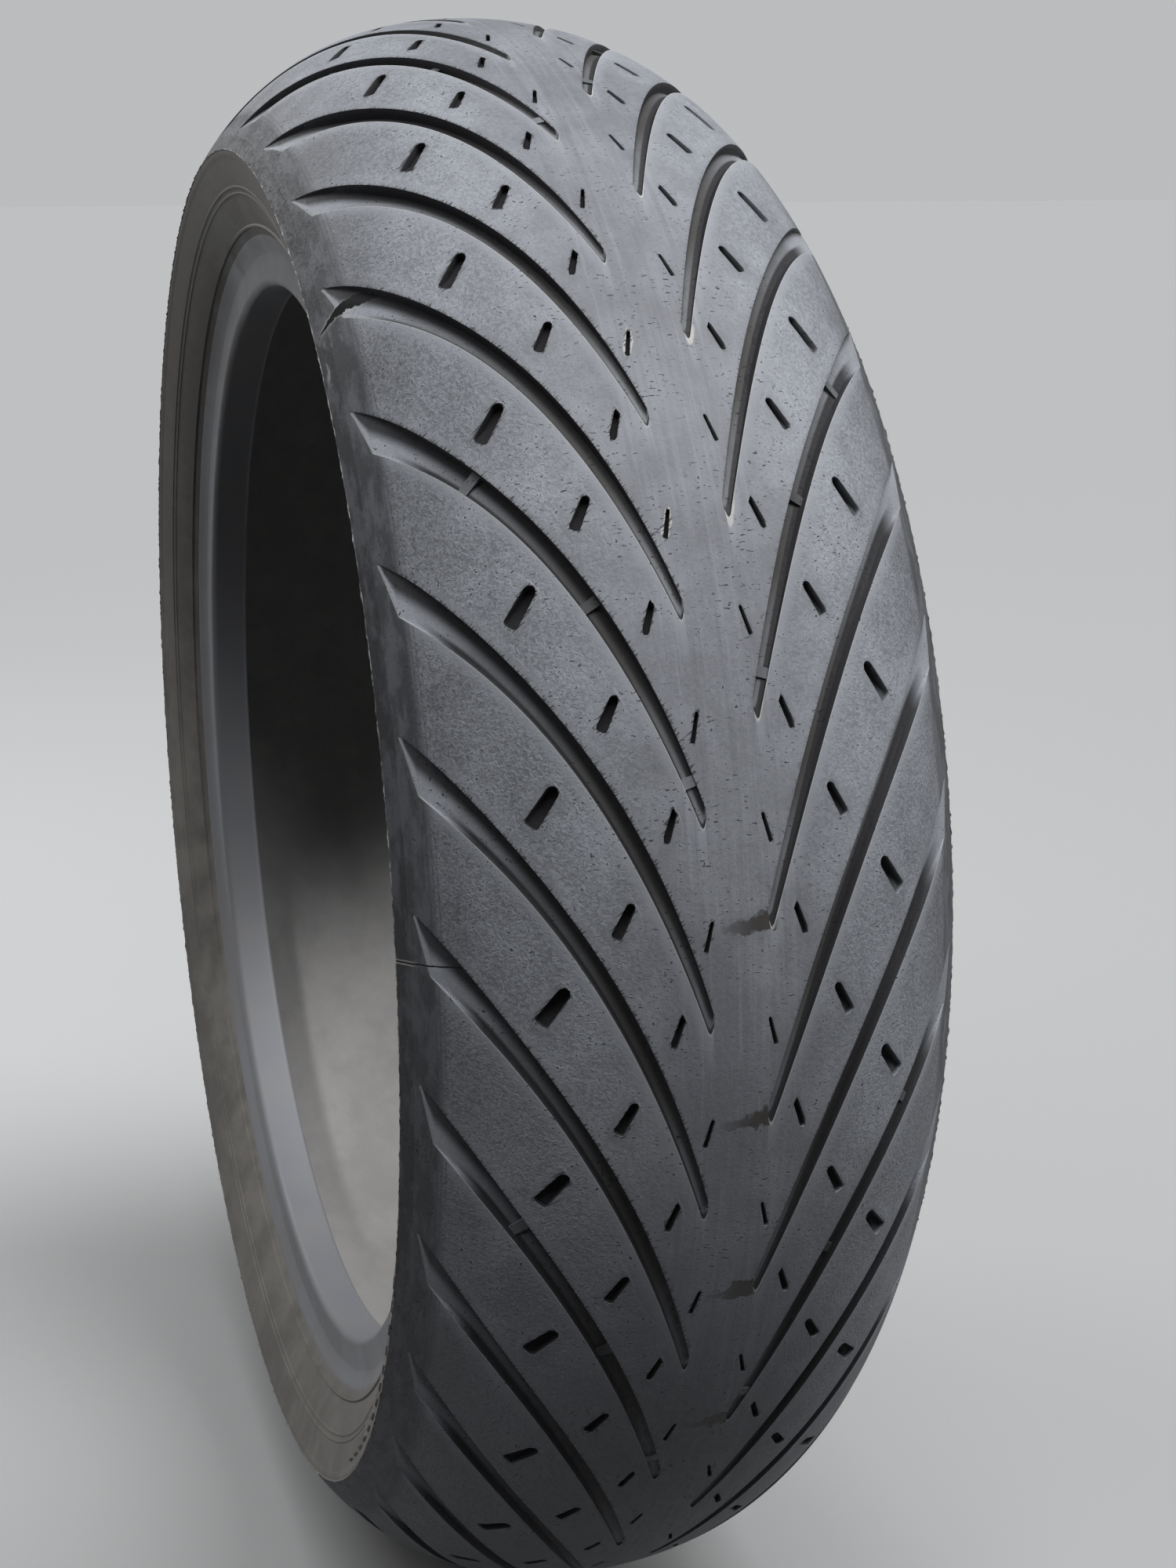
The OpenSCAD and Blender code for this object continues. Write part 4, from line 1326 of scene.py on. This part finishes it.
def cut_tone(nodes, tone):
    """Cuts: a floor that is dusty by the run-out, with brown dirt and painted shade that grow with depth and
    inwards; painted shadow and shade on walls and corners; painted shade in sipes.
    """
    span, times, above = nodes.span, nodes.times, nodes.above
    # Brown dirt and painted shade on groove floors, more with depth and further in.
    tone = nodes.painted(times(nodes.deep, span(nodes.run, 20.0, 96.0, 0.9, 0.1)), tone, "stain")
    # Painted shadow over the upper part of each groove, wider on the left; painted shade by the lower wall
    # and its corner, wider on the right, fading out by the run-out.
    dark_from = nodes.line(nodes.right, 0.34, 0.32)
    upper = span(above, dark_from, nodes.plus(dark_from, 0.36))
    dark_to = nodes.line(nodes.right, 0.22, 0.24)
    lower = span(above, nodes.minus(dark_to, 0.14), dark_to, 1.0, 0.0)
    lower = times(lower, span(nodes.run, 80.0, 94.0, 1.0, 0.0))
    walls = times(nodes.most(upper, lower), span(nodes.cut, 0.05, 0.25))
    tone = nodes.painted(times(walls, 0.96), tone, "shade")
    # Painted shade in the sipes, from the slot value that the rings carry.
    return nodes.painted(times(nodes.slot, 0.92), tone, "shade")


def tread_material(name, scene, inner, outer, marks):
    """Worn tread rubber: land, marks of wear, edges and cuts, from what the mesh knows of each point."""
    material, shader = new_material(name)
    nodes = TreadNodes(material.node_tree, scene.tyre_colours, 360.0 / scene.tyre_tread.pitches)
    tone, holes, smooth = marks(nodes, land_tone(nodes, inner, outer))
    tone = cut_tone(nodes, edge_tone(nodes, tone, holes))
    nodes.put(shader.inputs["Base Color"], tone)
    rough = nodes.line(nodes.rubber["Mottle"], 0.14, nodes.line(nodes.deep, 0.2, 0.54))
    dull = nodes.line(smooth, 0.06, nodes.times(nodes.most(holes, nodes.slot), 0.4))
    nodes.put(shader.inputs["Roughness"], nodes.plus(dull, rough))
    shader.inputs["Specular IOR Level"].default_value = 0.36
    height = nodes.times(nodes.rubber["Height"], nodes.grainy, nodes.line(smooth, -0.75, 1.0),
                         nodes.line(nodes.deep, -0.85, 1.0))
    nodes.bump(shader, nodes.line(holes, -0.9, height), 0.65)
    return material


def plain_rubber(name, base, dusty, grain, dust, rough, gloss=0.3):
    """Plain rubber with grain, given as its size and how far it stands out, and patchy dust."""
    material, shader = new_material(name)
    shader.inputs["Specular IOR Level"].default_value = gloss
    nodes = Nodes(material.node_tree)
    rubber = nodes.grain(nodes.object_place(), *grain)
    tone = nodes.mix(nodes.times(rubber["Dust"], dust), with_alpha(base), with_alpha(dusty))
    nodes.put(shader.inputs["Base Color"], tone)
    nodes.put(shader.inputs["Roughness"], nodes.line(rubber["Dust"], 0.15, rough))
    nodes.bump(shader, rubber["Height"], 0.4)
    return material


def coated_steel(name, base):
    """Steel with an uneven sheen."""
    material, shader = new_material(name)
    nodes = Nodes(material.node_tree)
    shader.inputs["Base Color"].default_value = with_alpha(base)
    shader.inputs["Metallic"].default_value = 1.0
    uneven = nodes.noise(nodes.object_place(), 220.0, 3.0)
    nodes.put(shader.inputs["Roughness"], nodes.span(uneven, 0.3, 0.7, 0.28, 0.5))
    return material


def scene_shape(scene):
    """Section and pattern from the scene's settings."""
    section = Section(scene.tyre_size)
    return section, Pattern(section, scene.tyre_tread)


def seen_rays(nodes):
    """1 for rays that show the background: to the camera, in reflections and through glass."""
    path = nodes.add("ShaderNodeLightPath").outputs
    return nodes.most(nodes.most(path["Is Camera Ray"], path["Is Glossy Ray"]), path["Is Transmission Ray"])


def hang(name, data, spot, target):
    """Object for a lamp or camera at a spot, looking at a target."""
    thing = bpy.data.objects.new(name, data)
    thing.location = spot
    thing.rotation_euler = (Vector(target) - Vector(spot)).to_track_quat("-Z", "Y").to_euler()
    bpy.context.scene.collection.objects.link(thing)
    return thing


def add_floor(settings):
    """A wide pale floor under the tyre, which gives the object only a share of its light."""
    low = CAD_BOX[0][2] * MM
    corners = np.array([(-1, -1, 0), (1, -1, 0), (1, 1, 0), (-1, 1, 0)]) * FLOOR_REACH + (0, 0, low)
    floor = make_mesh("floor", corners, [np.array([[0, 1, 2, 3]])])
    material, shader = new_material("pale_floor")
    nodes = Nodes(material.node_tree)
    bounce = scaled(settings.floor, settings.floor_bounce)
    tone = nodes.mix(seen_rays(nodes), bounce, with_alpha(settings.floor))
    nodes.put(shader.inputs["Base Color"], tone)
    shader.inputs["Roughness"].default_value = 0.9
    shader.inputs["Specular IOR Level"].default_value = 0.0
    floor.data.materials.append(material)
    floor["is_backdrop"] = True


def add_lamps(settings):
    """Wide light from overhead, more from the right than the left, a softbox behind and a spot inside."""
    for name, share, spot in OVERHEAD:
        lamp = bpy.data.lights.new(name, "SUN")
        lamp.angle = np.radians(settings.key_spread)
        lamp.energy = settings.key_level * share * np.pi
        hang(name, lamp, spot, (0.0, 0.0, 0.0))
    lamp = bpy.data.lights.new("side_softbox", "AREA")
    lamp.shape = "DISK"
    lamp.size = 0.7
    lamp.energy = settings.side_power
    hang("side_softbox", lamp, *SOFTBOX)
    lamp = bpy.data.lights.new("inside_spot", "SPOT")
    lamp.spot_size = np.radians(15.0)
    lamp.spot_blend = 1.0
    lamp.shadow_soft_size = 0.03
    lamp.energy = settings.inside_power
    hang("inside_spot", lamp, *INSIDE_SPOT)


def add_world(scene, settings):
    """A backdrop for the camera and reflections, dimmer overhead, that lights the object only a little."""
    world = bpy.data.worlds.new("studio")
    world.use_nodes = True
    nodes = Nodes(world.node_tree)
    ground = world.node_tree.nodes["Background"]
    ground.inputs["Color"].default_value = with_alpha(settings.backdrop)
    split = nodes.add("ShaderNodeSeparateXYZ")
    nodes.put(split.inputs[0], nodes.add("ShaderNodeTexCoord").outputs["Generated"])
    overhead = nodes.span(split.outputs["Z"], 0.12, 0.5, 1.0, settings.ceiling)
    seen = nodes.times(seen_rays(nodes), overhead)
    nodes.put(ground.inputs["Strength"], nodes.most(seen, settings.world_level))
    scene.world = world


class TYRE_OT_tread_centre(bpy.types.Operator):
    """Builds the middle tread cap with the groove tips and the inner sipes"""
    bl_idname = "tyre.tread_centre"
    bl_label = "Tread centre"

    def execute(self, context):
        scene = context.scene
        _, pattern = scene_shape(scene)
        colours = scene.tyre_colours
        piece = tread_piece("tread_centre", pattern, (-1, 1), centre_runs(scene.tyre_tread.border * MM))
        material = tread_material("worn_centre_rubber", scene, colours.centre, colours.side, centre_marks)
        settle(piece, material, "tread_cap_centre")
        return {"FINISHED"}


class TYRE_OT_tread_sides(bpy.types.Operator):
    """Builds the two side tread caps with the grooves and the outer sipes"""
    bl_idname = "tyre.tread_sides"
    bl_label = "Tread sides"

    def execute(self, context):
        scene = context.scene
        section, pattern = scene_shape(scene)
        colours = scene.tyre_colours
        runs = side_runs(scene.tyre_tread.border * MM, section.wing_run)
        material = tread_material("worn_side_rubber", scene, colours.centre, colours.side, shoulder_marks)
        for side, label in SIDES:
            piece = tread_piece("tread_side_" + label, pattern, (side,), runs)
            settle(piece, material, "tread_cap_" + label)
        return {"FINISHED"}


class TYRE_OT_wings(bpy.types.Operator):
    """Builds the two wing strips with the ragged flash at the tread's edges"""
    bl_idname = "tyre.wings"
    bl_label = "Wings"

    def execute(self, context):
        scene = context.scene
        section, _ = scene_shape(scene)
        colours = scene.tyre_colours
        material = tread_material("worn_wing_rubber", scene, colours.wing, colours.wing, shoulder_marks)
        turns = full_turn(0.25)
        for (side, label), seed in zip(SIDES, FLASH_SEEDS):
            runs, flash, outlines = wing_outline(section, turns, seed)
            values = (side * runs, 0.0, FAR, 0.0, flash, 0.0)
            piece = revolve("wing_strip_" + label, mirrored(outlines, side), turns, list(zip(KNOWN, values)))
            settle(piece, material, "tread_wing_" + label)
        return {"FINISHED"}


class TYRE_OT_sidewalls(bpy.types.Operator):
    """Builds the two sidewalls with plain raised blocks, ribs and a fitting ring"""
    bl_idname = "tyre.sidewalls"
    bl_label = "Sidewalls"

    def execute(self, context):
        section, _ = scene_shape(context.scene)
        colours = context.scene.tyre_colours
        material = plain_rubber("dusty_sidewall", colours.wall, colours.wall_dust, grain=(380.0, 0.3),
                                dust=0.9, rough=0.5, gloss=0.2)
        for (side, label), first in zip(SIDES, BLOCK_STARTS):
            turns, outlines = wall_outline(section, first)
            piece = revolve("wall_" + label, mirrored(outlines, side), turns)
            settle(piece, material, "sidewall_" + label)
        return {"FINISHED"}


class TYRE_OT_beads(bpy.types.Operator):
    """Builds the chafers round the two beads"""
    bl_idname = "tyre.beads"
    bl_label = "Beads"

    def execute(self, context):
        section, _ = scene_shape(context.scene)
        colours = context.scene.tyre_colours
        material = plain_rubber("bead_chafer", colours.bead, colours.wall_dust, grain=(500.0, 0.2),
                                dust=0.35, rough=0.4)
        turns = full_turn(1.25)
        outlines = every_turn(chafer_outline(section), len(turns))
        for side, label in SIDES:
            piece = revolve("bead_" + label, mirrored(outlines, side), turns, sharp=45.0)
            settle(piece, material, "chafer_" + label)
        return {"FINISHED"}


class TYRE_OT_liner(bpy.types.Operator):
    """Builds the smooth inner liner"""
    bl_idname = "tyre.liner"
    bl_label = "Inner liner"

    def execute(self, context):
        section, _ = scene_shape(context.scene)
        base = context.scene.tyre_colours.liner
        material = plain_rubber("liner", base, [part * 1.3 for part in base], grain=(180.0, 0.15), dust=0.8,
                                rough=0.45, gloss=0.1)
        turns = full_turn(1.5)
        piece = revolve("air_liner", every_turn(liner_outline(section), len(turns)), turns, sharp=50.0)
        settle(piece, material, "inner_liner")
        return {"FINISHED"}


class TYRE_OT_layers(bpy.types.Operator):
    """Gives the layers inside their own materials"""
    bl_idname = "tyre.layers"
    bl_label = "Inner layers"

    def execute(self, context):
        colours = context.scene.tyre_colours
        rubber = plain_rubber("base_rubber", colours.nick, colours.wing, grain=(300.0, 0.3), dust=0.4,
                              rough=0.5)
        steel = coated_steel("coated_steel", colours.steel)
        fabric = plain_rubber("rubbered_cord", colours.cord, colours.nick, grain=(600.0, 0.6), dust=0.5,
                              rough=0.6)
        finishes = {"base_rubber": rubber, "bead_rubber": rubber, "belt_cord": steel, "bead_wire": steel,
                    "ply_fabric": fabric}
        shown = {piece.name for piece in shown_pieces()}
        for part in frame["record"]["subparts"]:
            if part["node"] in shown:
                piece = frame["nodes"][part["node"]]
                piece.data.materials.clear()
                piece.data.materials.append(finishes[part["material_slot"]])
        return {"FINISHED"}


class TYRE_OT_stage(bpy.types.Operator):
    """Adds the floor with its backdrop, the soft light and the camera"""
    bl_idname = "tyre.stage"
    bl_label = "Stage"

    def execute(self, context):
        scene = context.scene
        settings = scene.tyre_stage
        add_floor(settings)
        add_lamps(settings)
        add_world(scene, settings)
        scene.view_settings.view_transform = "Standard"
        camera = bpy.data.cameras.new("camera")
        camera.sensor_width = 36.0
        camera.lens = settings.lens
        scene.camera = hang("camera", camera, settings.camera, settings.target)
        return {"FINISHED"}


class TYRE_PT_panel(bpy.types.Panel):
    """Lists the settings and the steps"""
    bl_idname = "TYRE_PT_panel"
    bl_label = "Motorcycle tyre"
    bl_space_type = "VIEW_3D"
    bl_region_type = "UI"
    bl_category = "Tyre"

    def draw(self, context):
        for label, _ in SETTINGS:
            group = getattr(context.scene, label)
            box = self.layout.box()
            for name in group.bl_rna.properties.keys():
                if name not in {"rna_type", "name"}:
                    box.prop(group, name)
        for step in STEPS:
            self.layout.operator(step.bl_idname)


SETTINGS = (
    ("tyre_size", TyreSize),
    ("tyre_tread", TyreTread),
    ("tyre_colours", TyreColours),
    ("tyre_stage", TyreStage),
)
STEPS = (
    TYRE_OT_tread_centre,
    TYRE_OT_tread_sides,
    TYRE_OT_wings,
    TYRE_OT_sidewalls,
    TYRE_OT_beads,
    TYRE_OT_liner,
    TYRE_OT_layers,
    TYRE_OT_stage,
)


def register():
    """Registers the settings, the steps and the panel."""
    for label, kind in SETTINGS:
        bpy.utils.register_class(kind)
        setattr(bpy.types.Scene, label, bpy.props.PointerProperty(type=kind))
    for kind in (*STEPS, TYRE_PT_panel):
        bpy.utils.register_class(kind)


def unregister():
    """Takes back what register() did."""
    for kind in reversed((*STEPS, TYRE_PT_panel)):
        bpy.utils.unregister_class(kind)
    for label, kind in reversed(SETTINGS):
        delattr(bpy.types.Scene, label)
        bpy.utils.unregister_class(kind)


def main():
    """Runs every step."""
    register()
    for step in STEPS:
        group, name = step.bl_idname.split(".")
        getattr(getattr(bpy.ops, group), name)()


if __name__ == "__main__":
    main()
